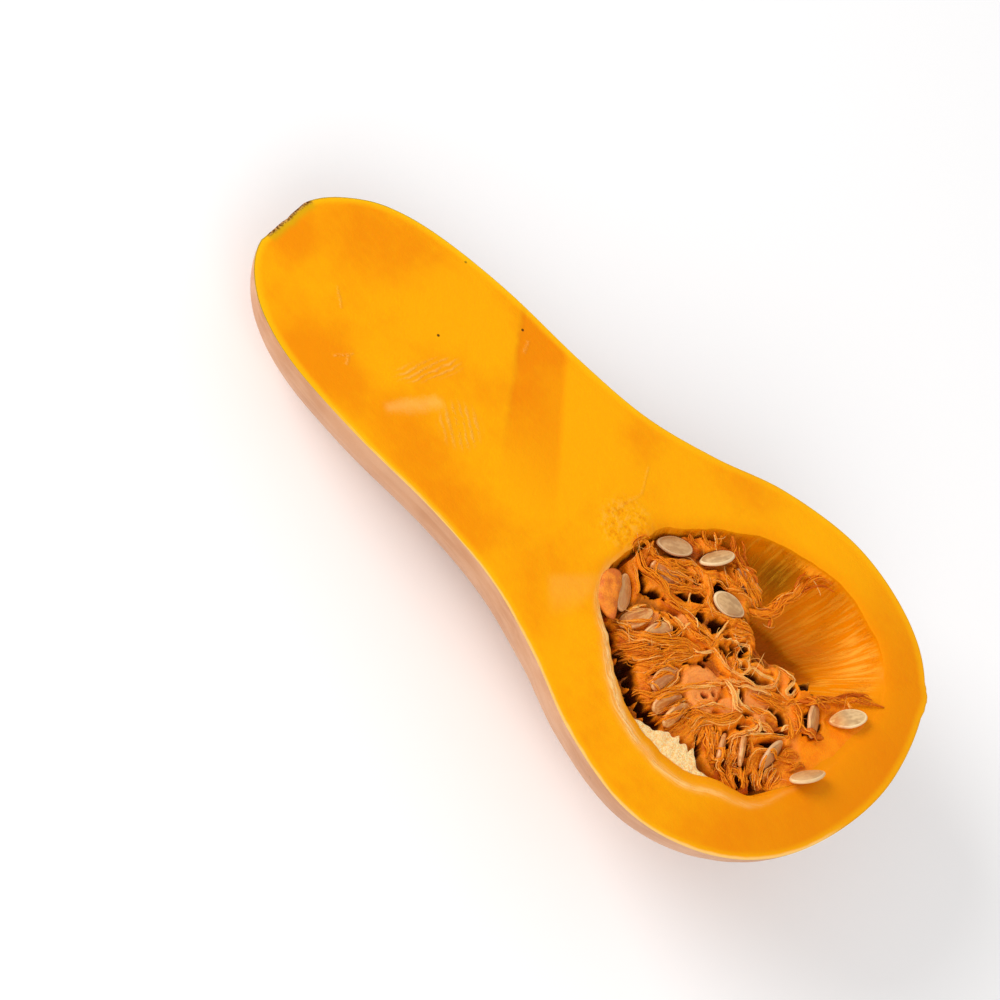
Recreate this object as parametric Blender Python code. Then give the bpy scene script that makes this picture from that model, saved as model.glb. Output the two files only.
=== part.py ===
"""Half of a butternut squash, cut lengthwise and lying on its back with the seed cavity facing up.

The shapes are worked out on the cut face: X runs from the stem to the blossom end, Y across the face
and Z up out of the flesh, with the cut at Z = 0. An empty then tips and lifts them all, so that the
skin rests on the ground under the bulb and under the neck.
"""

import math
import random

import bmesh
import bpy
import numpy as np
from mathutils import Euler, Vector

MM = 0.001

# Stations from the stem to the blossom end, in millimetres: place along the cut face, half width of
# the cut, depth of flesh below the cut, sideways shift of the middle.
STATIONS = (
    (-140.5, 0, 0, 4.5),
    (-138.5, 14, 12, 5),
    (-131, 25, 24, 5.5),
    (-119, 33.7, 33, 6.2),
    (-100, 39.6, 39, 6.6),
    (-70, 42.6, 42.3, 7.3),
    (-35, 42.9, 42.5, 7.5),
    (-5, 45.8, 44.5, 7.2),
    (22, 54.5, 49, 6.8),
    (48, 65.8, 55, 6.5),
    (78, 71.3, 58.7, 6.2),
    (104, 65.2, 54, 7.5),
    (124, 51, 42.5, 10),
    (136, 29.5, 25, 12.5),
    (141, 0, 0, 12.5),
)
ROWS_PER_STATION = 3
SKIN_SIDES = 22
STEM_SCAR_RADIUS = 11 * MM
STEM_SCAR_DEPTH = 2.2 * MM
BLOSSOM_SCAR_AT = (133.4 * MM, 50 * MM)
BLOSSOM_SCAR_RADIUS = 7 * MM
BLOSSOM_SCAR_HEIGHT = 1.2 * MM
REST_FLAT_DEPTH = 0.6 * MM
REST_STEPS = 8

# The seed cavity, by angle round its middle: equal steps from the blossom end towards +Y.
CAVITY_MIDDLE = (70 * MM, 10 * MM)
CAVITY_RIM = (
    52.1, 55.7, 58.4, 58.4, 55.5, 52.4, 48.3, 45.8, 44.0, 43.1, 44.1, 47.3,
    47.8, 50.5, 49.7, 46.3, 46.9, 48.3, 48.8, 50.1, 48.7, 52.5, 51.1, 51.8,
)
CAVITY_STEEPNESS = (0.8, 0.9, 2.1, 2.3, 2.1, 1.8, 1.6, 2.4, 3.1, 3.2, 2.4, 1.0)
CAVITY_DEPTH = 41 * MM
CAVITY_SIDES = 48
CAVITY_ROWS = 10
CUTTER_RISE = 6 * MM

# The pulp fills a share of the cavity's rim radius by angle, and leaves the +Y side open.
PULP_REACH = (0.78, 0.5, 0.36, 0.38, 0.86, 0.96, 0.94, 0.93, 0.93, 0.93, 0.93, 0.88)
PULP_FOOT = 0.3
PULP_FLOOR_GAP = 1.9 * MM
PULP_THINNEST = 1.2 * MM
PULP_TOP_ROWS = 9
PULP_SIDE_ROWS = 2
PULP_BOTTOM_ROWS = 8
PULP_SINK = 3.2 * MM
PULP_EDGE_SINK = (3, 4, 6, 6, 4, 0.5, 0.5, 5, 6, 6, 6, 4)
PULP_EDGE_CURVE = 6
PULP_LUMP = 1.2 * MM
PULP_LUMP_SIZE = (6.5 * MM, 5.5 * MM)
SPINE_FROM = (38 * MM, 6 * MM)
SPINE_TO = (106 * MM, 2 * MM)
STRAND_COUNT = 36
STRAND_RADIUS = 1.1 * MM
STRAND_SEGMENTS = 6
STRAND_SIDES = 4
STRAND_ARCH = 1.6 * MM
STRAND_ROOT = 0.5 * MM
STRAND_TAPER = (1.15, 0.75)
STRAND_SPREAD = 0.2
STRAND_REACH = (0.72, 0.92)
STRAND_BEND = 4 * MM
SHORTEST_STRAND = 14 * MM
STRAND_SEED = 7

# Seeds: middle on the cut face and lift above the surface under it in millimetres, then the
# heading of the pointed end, its rise and the roll about the seed's length in degrees.
SEED_LENGTH = 14.2 * MM
SEED_WIDTH = 7.8 * MM
SEED_THICKNESS = 2.6 * MM
SEED_NARROWING = 0.28
SEED_NARROWING_CURVE = 1.5
SEED_EDGE_CURVE = 0.8
SEED_CLEARANCE = 0.45 * MM
SEED_STATIONS = 8
SEED_SIDES = 10
SEEDS = (
    (32.7, 25.2, 0.4, 215, 0, 8),
    (46.4, 33.4, 0.5, 241, -4, 38),
    (60.0, 22.6, 0.4, 21, -14, 12),
    (39.4, -6.9, 0.3, 69, 6, -30),
    (48.2, -6.2, -0.6, 71, 0, 24),
    (37.1, 14.9, -0.6, 24, -6, 24),
    (116.0, 21.9, 2, 230, 0, 4),
    (107.2, 12.8, 1.7, 117, 0, 42),
    (117.1, -8.3, 2.75, 58, 0, -34),
    (103.9, -8.8, 2, 92, 4, 54),
    (60.2, -16.2, -0.2, 76, -6, 28),
    (65.9, -22.5, -0.2, 68, -8, 42),
    (70.8, -23.8, 0, 76, -8, 48),
    (90.0, -20.0, 0.3, 109, -10, 64),
    (95.1, -14.9, 0.2, 113, -10, 62),
    (30.4, -3.0, 1.2, 121, 4, 30),
    (60.7, 36.2, -0.8, 348, -10, 34),
)

SMALLEST_WIDTH = 0.01 * MM
SHARP_ANGLE = math.radians(35)
SKIN_ROUGHNESS = 0.45
PULP_ROUGHNESS = 0.5
SEED_ROUGHNESS = 0.4
SKIN_COLOUR = (0.72, 0.43, 0.19, 1)
PULP_COLOUR = (0.85, 0.27, 0.04, 1)
SEED_COLOUR = (0.80, 0.68, 0.44, 1)


def clear_scene():
    for old in list(bpy.data.objects):
        bpy.data.objects.remove(old)


def material(name, colour, roughness):
    """A Principled material with one colour and roughness."""
    made = bpy.data.materials.new(name)
    made.use_nodes = True
    shader = made.node_tree.nodes["Principled BSDF"]
    shader.inputs["Base Color"].default_value = colour
    shader.inputs["Roughness"].default_value = roughness
    shader.inputs["Metallic"].default_value = 0
    return made


def smooth_through(points, steps):
    """Points on a Catmull-Rom curve through all but the first and last of the points given."""
    points = np.asarray(points, float)
    rows = []
    for before, start, end, after in zip(points, points[1:], points[2:], points[3:]):
        for t in np.arange(steps) / steps:
            rows.append(
                0.5
                * (
                    2 * start
                    + (end - before) * t
                    + (2 * before - 5 * start + 4 * end - after) * t**2
                    + (3 * start - before - 3 * end + after) * t**3
                )
            )
    rows.append(points[-2])
    return np.array(rows)


def outline_rows():
    """Place, half width, depth and shift along the squash, in metres, from pole to pole.

    The stations next to each pole are mirrored beyond it, which rounds the ends.
    """
    stations = np.array(STATIONS) * MM
    mirror = np.array((1, -1, -1, 1))
    beyond = np.vstack((stations[1] * mirror, stations, stations[-2] * mirror))
    return smooth_through(beyond, ROWS_PER_STATION)


def scarred(points):
    """The skin's points with a shallow dish at the stem and a small boss at the blossom end."""
    tip = np.array((STATIONS[0][0], STATIONS[0][3], 0)) * MM
    reach = np.linalg.norm((points - tip)[:, 1:], axis=1) / STEM_SCAR_RADIUS
    near_stem = (points[:, 0] < STATIONS[2][0] * MM) & (reach < 1)
    points[:, 0] += np.where(near_stem, STEM_SCAR_DEPTH * (1 - reach**2), 0)
    boss = np.array((*BLOSSOM_SCAR_AT, 0))
    away = np.linalg.norm(points - boss, axis=1) / BLOSSOM_SCAR_RADIUS
    lift = BLOSSOM_SCAR_HEIGHT * np.clip(1 - away**2, 0, None)
    outward = (points - np.array((CAVITY_MIDDLE[0], CAVITY_MIDDLE[1], 0))) * (1, 1, 0)
    outward /= np.maximum(np.linalg.norm(outward, axis=1, keepdims=True), MM)
    return points + outward * lift[:, None]


def rest_slope(rows):
    """Slope of the line that touches the bottom of the neck and the bottom of the bulb."""
    place, bottom = rows[:, 0], -rows[:, 2]
    neck = np.where(place < 0)[0]
    bulb = np.where(place >= 0)[0]
    slope = 0
    for _ in range(REST_STEPS):
        low_neck = neck[np.argmin(bottom[neck] - slope * place[neck])]
        low_bulb = bulb[np.argmin(bottom[bulb] - slope * place[bulb])]
        run = place[low_bulb] - place[low_neck]
        slope = (bottom[low_bulb] - bottom[low_neck]) / run
    return slope


def body_mesh(rows, rest_normal, rest_offset):
    """Skin arcs from one edge of the cut to the other, the cut face, and the two flats it rests on."""
    made = bmesh.new()
    sides = np.linspace(-1, 1, SKIN_SIDES + 1)
    loops = []
    for place, half, depth, shift in rows:
        if half < SMALLEST_WIDTH:
            points = np.array([(place, shift, 0)])
        else:
            # the arc of the circle through both edges of the cut and the deepest point between them
            radius = (half**2 + depth**2) / (2 * depth)
            turn = np.arctan2(half, radius - depth) * sides
            points = np.column_stack(
                (
                    np.full(turn.shape, place),
                    shift + radius * np.sin(turn),
                    radius - depth - radius * np.cos(turn),
                )
            )
            points[[0, -1], 2] = 0
        loops.append([made.verts.new(p) for p in scarred(points)])
    for first, second in zip(loops, loops[1:]):
        for i in range(SKIN_SIDES):
            corners = (
                first[min(i, len(first) - 1)],
                first[min(i + 1, len(first) - 1)],
                second[min(i + 1, len(second) - 1)],
                second[min(i, len(second) - 1)],
            )
            made.faces.new(dict.fromkeys(corners))
    edge = [loop[-1] for loop in loops] + [loop[0] for loop in reversed(loops[1:-1])]
    made.faces.new(edge)
    everything = made.verts[:] + made.edges[:] + made.faces[:]
    bmesh.ops.bisect_plane(
        made,
        geom=everything,
        plane_co=[rest_offset * n for n in rest_normal],
        plane_no=rest_normal,
        clear_inner=True,
    )
    bmesh.ops.holes_fill(made, edges=[e for e in made.edges if e.is_boundary])
    bmesh.ops.recalc_face_normals(made, faces=made.faces[:])
    return made


def by_angle(table, angle):
    """A value at an angle round the cavity's middle, smoothed through a table of the full turn."""
    table = np.array(table)
    where = np.asarray(angle) % (2 * math.pi) / (2 * math.pi) * len(table)
    index = np.floor(where).astype(int)
    t = where - index
    before, start, end, after = (table[(index + i) % len(table)] for i in (-1, 0, 1, 2))
    return 0.5 * (
        2 * start
        + (end - before) * t
        + (2 * before - 5 * start + 4 * end - after) * t**2
        + (3 * start - before - 3 * end + after) * t**3
    )


def share_and_angle(x, y):
    """Where a point lies in the cavity: its share of the way to the rim, and its angle."""
    dx, dy = x - CAVITY_MIDDLE[0], y - CAVITY_MIDDLE[1]
    angle = np.arctan2(dy, dx)
    return np.hypot(dx, dy) / (by_angle(CAVITY_RIM, angle) * MM), angle


def floor_height(x, y):
    """Height of the cavity's floor, by the curve share^steepness + (depth / deepest)^steepness = 1."""
    share, angle = share_and_angle(x, y)
    power = by_angle(CAVITY_STEEPNESS, angle)
    return -CAVITY_DEPTH * np.clip(1 - share**power, 0, 1) ** (1 / power)


def pulp_top(x, y):
    """Height of the core's top: lumpy, just under the cut, sunk at its edge, and never too thin."""
    share, angle = share_and_angle(x, y)
    lumps = PULP_LUMP * np.sin(x / PULP_LUMP_SIZE[0]) * np.sin(y / PULP_LUMP_SIZE[1])
    edge = np.clip(share / by_angle(PULP_REACH, angle), 0, 1)
    edge_sink = by_angle(PULP_EDGE_SINK, angle) * MM * edge**PULP_EDGE_CURVE
    top = -(PULP_SINK + edge_sink + lumps)
    return np.maximum(top, floor_height(x, y) + PULP_FLOOR_GAP + PULP_THINNEST)


def rings_mesh(rings, first_pole, last_pole):
    """A closed mesh from rings of equal length, with a point beyond each end."""
    made = bmesh.new()
    start, end = made.verts.new(first_pole), made.verts.new(last_pole)
    loops = [[made.verts.new(p) for p in ring] for ring in rings]
    count = len(loops[0])
    for i in range(count):
        after = (i + 1) % count
        made.faces.new((start, loops[0][after], loops[0][i]))
        made.faces.new((end, loops[-1][i], loops[-1][after]))
        for first, second in zip(loops, loops[1:]):
            made.faces.new((first[i], first[after], second[after], second[i]))
    bmesh.ops.recalc_face_normals(made, faces=made.faces[:])
    return made


def around_cavity(shares, angle):
    """Places on the face at shares of the rim radius."""
    reach = by_angle(CAVITY_RIM, angle) * MM * shares
    return CAVITY_MIDDLE[0] + reach * np.cos(angle), CAVITY_MIDDLE[1] + reach * np.sin(angle)


def cavity_mesh():
    """The solid that hollows out the cavity, with its rim carried up through the cut."""
    angle = np.arange(CAVITY_SIDES) * 2 * math.pi / CAVITY_SIDES
    power = by_angle(CAVITY_STEEPNESS, angle)
    rings = [np.column_stack((*around_cavity(1, angle), np.full(angle.shape, CUTTER_RISE)))]
    for dip in np.linspace(0, math.pi / 2, CAVITY_ROWS)[:-1]:
        x, y = around_cavity(math.cos(dip) ** (2 / power), angle)
        rings.append(np.column_stack((x, y, -CAVITY_DEPTH * math.sin(dip) ** (2 / power))))
    return rings_mesh(rings, (*CAVITY_MIDDLE, CUTTER_RISE), (*CAVITY_MIDDLE, -CAVITY_DEPTH))


def pulp_core_mesh():
    """The pulp's core: its lumpy top, a leaning side, and an underside just above the cavity's floor."""
    angle = np.arange(CAVITY_SIDES) * 2 * math.pi / CAVITY_SIDES
    reach = by_angle(PULP_REACH, angle)
    foot = reach + PULP_FOOT * (max(PULP_REACH) - reach)
    rings = []
    for step in np.linspace(0, 1, PULP_TOP_ROWS + 1)[1:]:
        x, y = around_cavity(reach * step, angle)
        rings.append(np.column_stack((x, y, pulp_top(x, y))))
    under = []
    for step in np.linspace(1, 0, PULP_BOTTOM_ROWS + 1)[:-1]:
        x, y = around_cavity(foot * step, angle)
        under.append(np.column_stack((x, y, floor_height(x, y) + PULP_FLOOR_GAP)))
    for step in np.linspace(0, 1, PULP_SIDE_ROWS + 2)[1:-1]:
        rings.append(rings[PULP_TOP_ROWS - 1] * (1 - step) + under[0] * step)
    top = (*CAVITY_MIDDLE, float(pulp_top(*CAVITY_MIDDLE)))
    bottom = (*CAVITY_MIDDLE, PULP_FLOOR_GAP - CAVITY_DEPTH)
    return rings_mesh(rings + under, top, bottom)


def tube_mesh(path, radii, sides):
    """A tube of a few sides along a path, closed by a point at each end."""
    path = np.asarray(path)
    ahead = np.gradient(path, axis=0)
    ahead /= np.linalg.norm(ahead, axis=1, keepdims=True)
    across = np.cross(ahead, (0, 0, 1))
    across /= np.linalg.norm(across, axis=1, keepdims=True)
    up = np.cross(across, ahead)
    rings = []
    for i in range(1, len(path) - 1):
        turn = np.arange(sides)[:, None] * 2 * math.pi / sides
        rings.append(path[i] + radii[i] * (np.cos(turn) * across[i] + np.sin(turn) * up[i]))
    return rings_mesh(rings, path[0], path[-1])


def strand_paths():
    """Strands from the pulp's spine outwards, each ending short of the pulp's edge."""
    draw = random.Random(STRAND_SEED)
    paths = []
    number = 0
    while len(paths) < STRAND_COUNT:
        number += 1
        share = draw.random()
        angle = number * math.pi * (3 - math.sqrt(5)) + draw.uniform(-STRAND_SPREAD, STRAND_SPREAD)
        start = [a + share * (b - a) for a, b in zip(SPINE_FROM, SPINE_TO)]
        reach = float(by_angle(PULP_REACH, angle)) * draw.uniform(*STRAND_REACH)
        end = around_cavity(reach, angle)
        bend = draw.uniform(-STRAND_BEND, STRAND_BEND)
        side = (start[1] - end[1], end[0] - start[0])
        length = math.hypot(*side)
        if length < SHORTEST_STRAND:
            continue
        points = []
        for t in np.linspace(0, 1, STRAND_SEGMENTS + 1):
            sway = bend * math.sin(math.pi * t) / length
            x = start[0] + t * (end[0] - start[0]) + sway * side[0]
            y = start[1] + t * (end[1] - start[1]) + sway * side[1]
            lift = STRAND_ARCH * math.sin(math.pi * t) - STRAND_ROOT
            points.append((x, y, float(pulp_top(x, y)) + lift))
        places = [share_and_angle(x, y) for x, y, _ in points]
        if all(part < by_angle(PULP_REACH, turn) for part, turn in places):
            paths.append(points)
    return paths


def seed_mesh(grow):
    """A flat seed along +X with its point at the +X end, larger all round by grow."""
    length = SEED_LENGTH / 2 + grow
    rings = []
    for along in np.cos(np.linspace(math.pi, 0, SEED_STATIONS + 1)[1:-1]):
        round_end = (1 - along**2) ** 0.5
        taper = 1 - SEED_NARROWING * max(along, 0) ** SEED_NARROWING_CURVE
        half = (SEED_WIDTH / 2 + grow) * round_end * taper
        thick = (SEED_THICKNESS / 2 + grow) * round_end**SEED_EDGE_CURVE
        turn = np.arange(SEED_SIDES) * 2 * math.pi / SEED_SIDES
        rings.append(
            np.column_stack(
                (np.full(turn.shape, along * length), half * np.cos(turn), thick * np.sin(turn))
            )
        )
    return rings_mesh(rings, (-length, 0, 0), (length, 0, 0))


def object_from(made, name, surface, collection=None):
    """Turns a bmesh into a named, smoothly shaded object."""
    mesh = bpy.data.meshes.new(name)
    made.to_mesh(mesh)
    made.free()
    mesh.shade_smooth()
    mesh.set_sharp_from_angle(angle=SHARP_ANGLE)
    mesh.materials.append(surface)
    found = bpy.data.objects.new(name, mesh)
    (collection or bpy.context.scene.collection).objects.link(found)
    return found


def as_helper(obj):
    """Marks a cutter, so that it is neither rendered nor part of the squash."""
    obj.hide_render = True
    obj.display_type = "WIRE"
    return obj


def boolean(obj, operation, other=None, collection=None, solver="EXACT"):
    modifier = obj.modifiers.new(operation.title(), "BOOLEAN")
    modifier.operation = operation
    modifier.solver = solver
    if collection:
        modifier.operand_type = "COLLECTION"
        modifier.collection = collection
    else:
        modifier.object = other


def largest_island(mesh):
    """The mesh's biggest connected skin, without loose scraps and sealed hollows."""
    made = bmesh.new()
    made.from_mesh(mesh)
    unseen = set(made.faces)
    islands = []
    while unseen:
        island, front = [], [unseen.pop()]
        while front:
            face = front.pop()
            island.append(face)
            for edge in face.edges:
                if len(edge.link_faces) == 2:
                    found = [other for other in edge.link_faces if other in unseen]
                    unseen.difference_update(found)
                    front.extend(found)
        islands.append(island)
    islands.sort(key=len)
    loose = [face for island in islands[:-1] for face in island]
    bmesh.ops.delete(made, geom=loose, context="FACES")
    return made


def make_body(rows, rest_normal, rest_offset, skin):
    body = object_from(body_mesh(rows, rest_normal, rest_offset), "squash_half", skin)
    cutter = as_helper(object_from(cavity_mesh(), "cavity_cutter", skin))
    boolean(body, "DIFFERENCE", other=cutter)
    return body, cutter


def seed_pose(obj, x, y, lift, heading, rise, roll):
    """Lays a seed on the pulp, or beyond its reach on the cavity's wall."""
    x, y = x * MM, y * MM
    share, angle = share_and_angle(x, y)
    turn = Euler((math.radians(roll), math.radians(-rise), math.radians(heading))).to_matrix()
    if share < by_angle(PULP_REACH, angle):
        ground = pulp_top(x, y)
    else:
        ground = floor_height(x, y)
        slope_x = (floor_height(x + MM, y) - ground) / MM
        slope_y = (floor_height(x, y + MM) - ground) / MM
        out_of_wall = Vector((-slope_x, -slope_y, 1))
        turn = Vector((0, 0, 1)).rotation_difference(out_of_wall).to_matrix() @ turn
    obj.location = (x, y, float(ground) + lift * MM)
    obj.rotation_euler = turn.to_euler()


def make_seeds(seed_surface):
    seeds = []
    for number, pose in enumerate(SEEDS, start=1):
        seed = object_from(seed_mesh(0), f"seed_{number:02d}", seed_surface)
        seed_pose(seed, *pose)
        seeds.append(seed)
    return seeds


def make_pulp(pulp_surface):
    """The core with its strands fused on and a hollow round each seed."""
    strands = bpy.data.collections.new("strands")
    hollows = bpy.data.collections.new("seed_hollows")
    for group in (strands, hollows):
        bpy.context.scene.collection.children.link(group)
    for path in strand_paths():
        thickness = STRAND_RADIUS * np.linspace(*STRAND_TAPER, len(path))
        as_helper(object_from(tube_mesh(path, thickness, STRAND_SIDES), "strand", pulp_surface, strands))
    for pose in SEEDS:
        hollow = as_helper(object_from(seed_mesh(SEED_CLEARANCE), "seed_hollow", pulp_surface, hollows))
        seed_pose(hollow, *pose)
    rough = as_helper(object_from(pulp_core_mesh(), "rough_pulp", pulp_surface))
    boolean(rough, "UNION", collection=strands, solver="MANIFOLD")
    boolean(rough, "DIFFERENCE", collection=hollows, solver="MANIFOLD")
    bpy.context.view_layer.update()
    graph = bpy.context.evaluated_depsgraph_get()
    fused = bpy.data.meshes.new_from_object(rough.evaluated_get(graph))
    pulp = object_from(largest_island(fused), "pulp", pulp_surface)
    for helper in [*strands.objects, *hollows.objects, rough]:
        bpy.data.objects.remove(helper)
    for group in (strands, hollows):
        bpy.data.collections.remove(group)
    return pulp


def build():
    clear_scene()
    skin = material("squash_skin", SKIN_COLOUR, SKIN_ROUGHNESS)
    pulp_surface = material("squash_pulp", PULP_COLOUR, PULP_ROUGHNESS)
    seed_surface = material("squash_seed", SEED_COLOUR, SEED_ROUGHNESS)

    rows = outline_rows()
    slope = rest_slope(rows)
    tip = math.atan(slope)
    rest_normal = (-math.sin(tip), 0, math.cos(tip))
    lowest = min(row[0] * rest_normal[0] - row[2] * rest_normal[2] for row in rows)
    rest_offset = lowest + REST_FLAT_DEPTH

    body, cutter = make_body(rows, rest_normal, rest_offset, skin)
    pieces = [body, cutter, make_pulp(pulp_surface), *make_seeds(seed_surface)]

    # The empty turns the resting plane level and lifts it to the ground, centred over the origin.
    rest = bpy.data.objects.new("rest_frame", None)
    bpy.context.scene.collection.objects.link(rest)
    rest.rotation_euler = (0, tip, 0)
    for piece in pieces:
        piece.parent = rest
    bpy.context.view_layer.update()
    graph = bpy.context.evaluated_depsgraph_get()
    shaped = body.evaluated_get(graph).to_mesh()
    corners = np.array([body.matrix_world @ v.co for v in shaped.vertices])
    middle = (corners.min(axis=0) + corners.max(axis=0)) / 2
    rest.location = (-middle[0], -middle[1], -corners[:, 2].min())


build()
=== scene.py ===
import math

import bpy
import numpy as np
from mathutils import Matrix, Vector


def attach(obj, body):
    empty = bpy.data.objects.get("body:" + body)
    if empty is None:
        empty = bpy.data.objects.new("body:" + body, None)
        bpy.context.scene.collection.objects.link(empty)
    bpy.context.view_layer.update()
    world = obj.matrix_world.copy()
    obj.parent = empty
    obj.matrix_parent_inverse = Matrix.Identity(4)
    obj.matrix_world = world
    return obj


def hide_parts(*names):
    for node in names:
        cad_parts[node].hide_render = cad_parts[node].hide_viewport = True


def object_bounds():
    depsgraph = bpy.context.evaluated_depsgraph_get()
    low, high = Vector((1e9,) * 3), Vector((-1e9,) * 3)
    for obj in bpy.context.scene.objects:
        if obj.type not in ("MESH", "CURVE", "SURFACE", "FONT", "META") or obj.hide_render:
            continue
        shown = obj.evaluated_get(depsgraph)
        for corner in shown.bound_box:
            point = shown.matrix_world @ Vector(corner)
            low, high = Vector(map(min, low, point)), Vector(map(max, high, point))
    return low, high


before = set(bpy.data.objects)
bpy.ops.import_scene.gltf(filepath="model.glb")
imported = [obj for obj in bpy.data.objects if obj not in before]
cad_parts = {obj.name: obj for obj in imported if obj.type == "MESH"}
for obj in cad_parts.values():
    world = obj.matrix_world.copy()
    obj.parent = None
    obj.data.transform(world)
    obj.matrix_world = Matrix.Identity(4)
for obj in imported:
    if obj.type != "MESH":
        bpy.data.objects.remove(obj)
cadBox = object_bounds()
print("frame:", len(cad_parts), "nodes")

# Shapes are worked out in the cut face's own frame: millimetres, x from the stem to the blossom end,
# y across the face, z out of it, the cut at z = 0. The rest tilt then lays them on the ground.
mm = 0.001
rest = dict(tilt=math.radians(-6.367), shift=(-0.0010, -0.0062, 0.04966))
restTurn = np.array(Matrix.Rotation(rest["tilt"], 3, "Y"))


# Face frame to row frame: scaled to metres, turned about Y by the tilt, then shifted
def laidDown(points):
    return np.asarray(points, float) * mm @ restTurn.T + rest["shift"]


# Row frame back to face frame: the same steps undone
def lifted(points):
    return (np.asarray(points, float) - rest["shift"]) @ restTurn / mm


# Eased step from 0 at low to 1 at high: 3t^2 - 2t^3
def easeStep(value, low, high):
    t = np.clip((value - low) / (high - low), 0, 1)
    return t * t * (3 - 2 * t)


# Smooth random field from -1 to 1: a seeded lattice, blended between the eight corners round each point
def wander(points, size, seed):
    lattice = np.random.default_rng(seed).uniform(-1, 1, (32, 32, 32))
    place = np.asarray(points, float) / size
    cell = np.floor(place).astype(int)
    t = place - cell
    t = t * t * (3 - 2 * t)
    field = 0
    for corner in np.ndindex(2, 2, 2):
        weight = np.prod(np.where(np.array(corner, bool), t, 1 - t), axis=-1)
        i, j, k = np.moveaxis((cell + corner) % 32, -1, 0)
        field = field + weight * lattice[i, j, k]
    return field


# Cubic through four neighbouring values, its slopes joining the neighbours
def cubic(before, start, end, after, t):
    return 0.5 * (
        2 * start
        + (end - before) * t
        + (2 * before - 5 * start + 4 * end - after) * t**2
        + (3 * start - before - 3 * end + after) * t**3
    )


# A value at an angle, from a table of the full turn
def byAngle(table, angle):
    table = np.array(table, float)
    where = np.asarray(angle) % (2 * math.pi) / (2 * math.pi) * len(table)
    index = np.floor(where).astype(int)
    return cubic(*(table[(index + i) % len(table)] for i in (-1, 0, 1, 2)), where - index)


# Quads between the neighbours of a grid of point numbers, closed round its second way if asked
def gridFaces(numbers, around=False):
    if around:
        numbers = np.concatenate((numbers, numbers[:, :1]), axis=1)
    corners = (numbers[:-1, :-1], numbers[:-1, 1:], numbers[1:, 1:], numbers[1:, :-1])
    return np.stack(corners, axis=-1).reshape(-1, 4)


# Triangles from one point to each step round a ring of point numbers
def fanFaces(tip, ring):
    return np.stack((np.full(ring.shape, tip), np.roll(ring, -1), ring), axis=-1)


# Six times the volume inside the faces: the sum of a . (b x c) over their triangles
def signedVolume(points, faces):
    total = 0
    for block in faces:
        for i in range(1, block.shape[1] - 1):
            a, b, c = (points[block[:, j]] for j in (0, i, i + 1))
            total += np.einsum("ij,ij->", a, np.cross(b, c))
    return total


# Faces of a closed skin made of rings: quads between them and a fan at both ends, all turned one way; the
# last two points are the fans' tips
def closedFaces(points, numbers):
    fromCentre = points - points.mean(axis=0)
    tube = gridFaces(numbers, around=True)
    caps = [fanFaces(len(points) - 2, numbers[0]), fanFaces(len(points) - 1, numbers[-1])[:, ::-1]]
    if signedVolume(fromCentre, [tube]) * signedVolume(fromCentre, caps) < 0:
        tube = tube[:, ::-1]
    return [tube, *caps]


# A finished piece: points in the face frame laid on the ground, faces turned outwards, values kept per point
def addPiece(name, points, faces, values, materials, node, faceMaterial=None, sharpAngle=None):
    if signedVolume(points, faces) < 0:
        faces = [block[:, ::-1] for block in faces]
    corners = np.concatenate([block.ravel() for block in faces])
    sizes = np.concatenate([np.full(len(block), block.shape[1]) for block in faces])
    mesh = bpy.data.meshes.new(name)
    mesh.vertices.add(len(points))
    # nothing reaches beyond the solid's own box
    mesh.vertices.foreach_set("co", np.clip(laidDown(points), *np.array(cadBox)).ravel())
    mesh.loops.add(len(corners))
    mesh.loops.foreach_set("vertex_index", corners.astype(np.int32))
    mesh.polygons.add(len(sizes))
    mesh.polygons.foreach_set("loop_start", np.concatenate(([0], np.cumsum(sizes)[:-1])).astype(np.int32))
    if faceMaterial is not None:
        mesh.polygons.foreach_set("material_index", faceMaterial.astype(np.int32))
    mesh.update(calc_edges=True)
    mesh.validate()
    mesh.shade_smooth()
    if sharpAngle:
        mesh.set_sharp_from_angle(angle=math.radians(sharpAngle))
    for key, field in values.items():
        vector = field.ndim == 2
        layer = mesh.attributes.new(key, "FLOAT_VECTOR" if vector else "FLOAT", "POINT")
        layer.data.foreach_set("vector" if vector else "value", field.astype(np.float32).ravel())
    for material in materials:
        mesh.materials.append(material)
    piece = bpy.data.objects.new(name, mesh)
    bpy.context.scene.collection.objects.link(piece)
    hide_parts(*node)
    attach(piece, "root")
    print("   ", name, int((sizes - 2).sum()), "triangles")


# Screen colour, 0 to 255, to the linear colour that shaders use
def tone(red, green, blue):
    screen = np.array((red, green, blue)) / 255
    linear = np.where(screen > 0.04045, ((screen + 0.055) / 1.055) ** 2.4, screen / 12.92)
    return (*(float(c) for c in linear), 1.0)


# A value, colour or vector in a material; arithmetic on it adds Math nodes
class Wire:
    def __init__(self, finish, socket):
        self.finish = finish
        self.socket = socket

    def math(self, operation, *others, first=None):
        start = self if first is None else first
        values = dict(enumerate((start, *others)))
        return self.finish.add("ShaderNodeMath", {"operation": operation}, values)

    def __add__(self, other):
        return self.math("ADD", other)

    def __sub__(self, other):
        return self.math("SUBTRACT", other)

    def __mul__(self, other):
        return self.math("MULTIPLY", other)

    def __truediv__(self, other):
        return self.math("DIVIDE", other)

    def __pow__(self, other):
        return self.math("POWER", other)

    def __rsub__(self, other):
        return self.math("SUBTRACT", self, first=other)

    __radd__ = __add__
    __rmul__ = __mul__

    # Eased step from 0 at low to 1 at high
    def step(self, low, high):
        settings = {"interpolation_type": "SMOOTHSTEP"}
        return self.finish.add("ShaderNodeMapRange", settings, {0: self, 1: low, 2: high})


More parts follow.
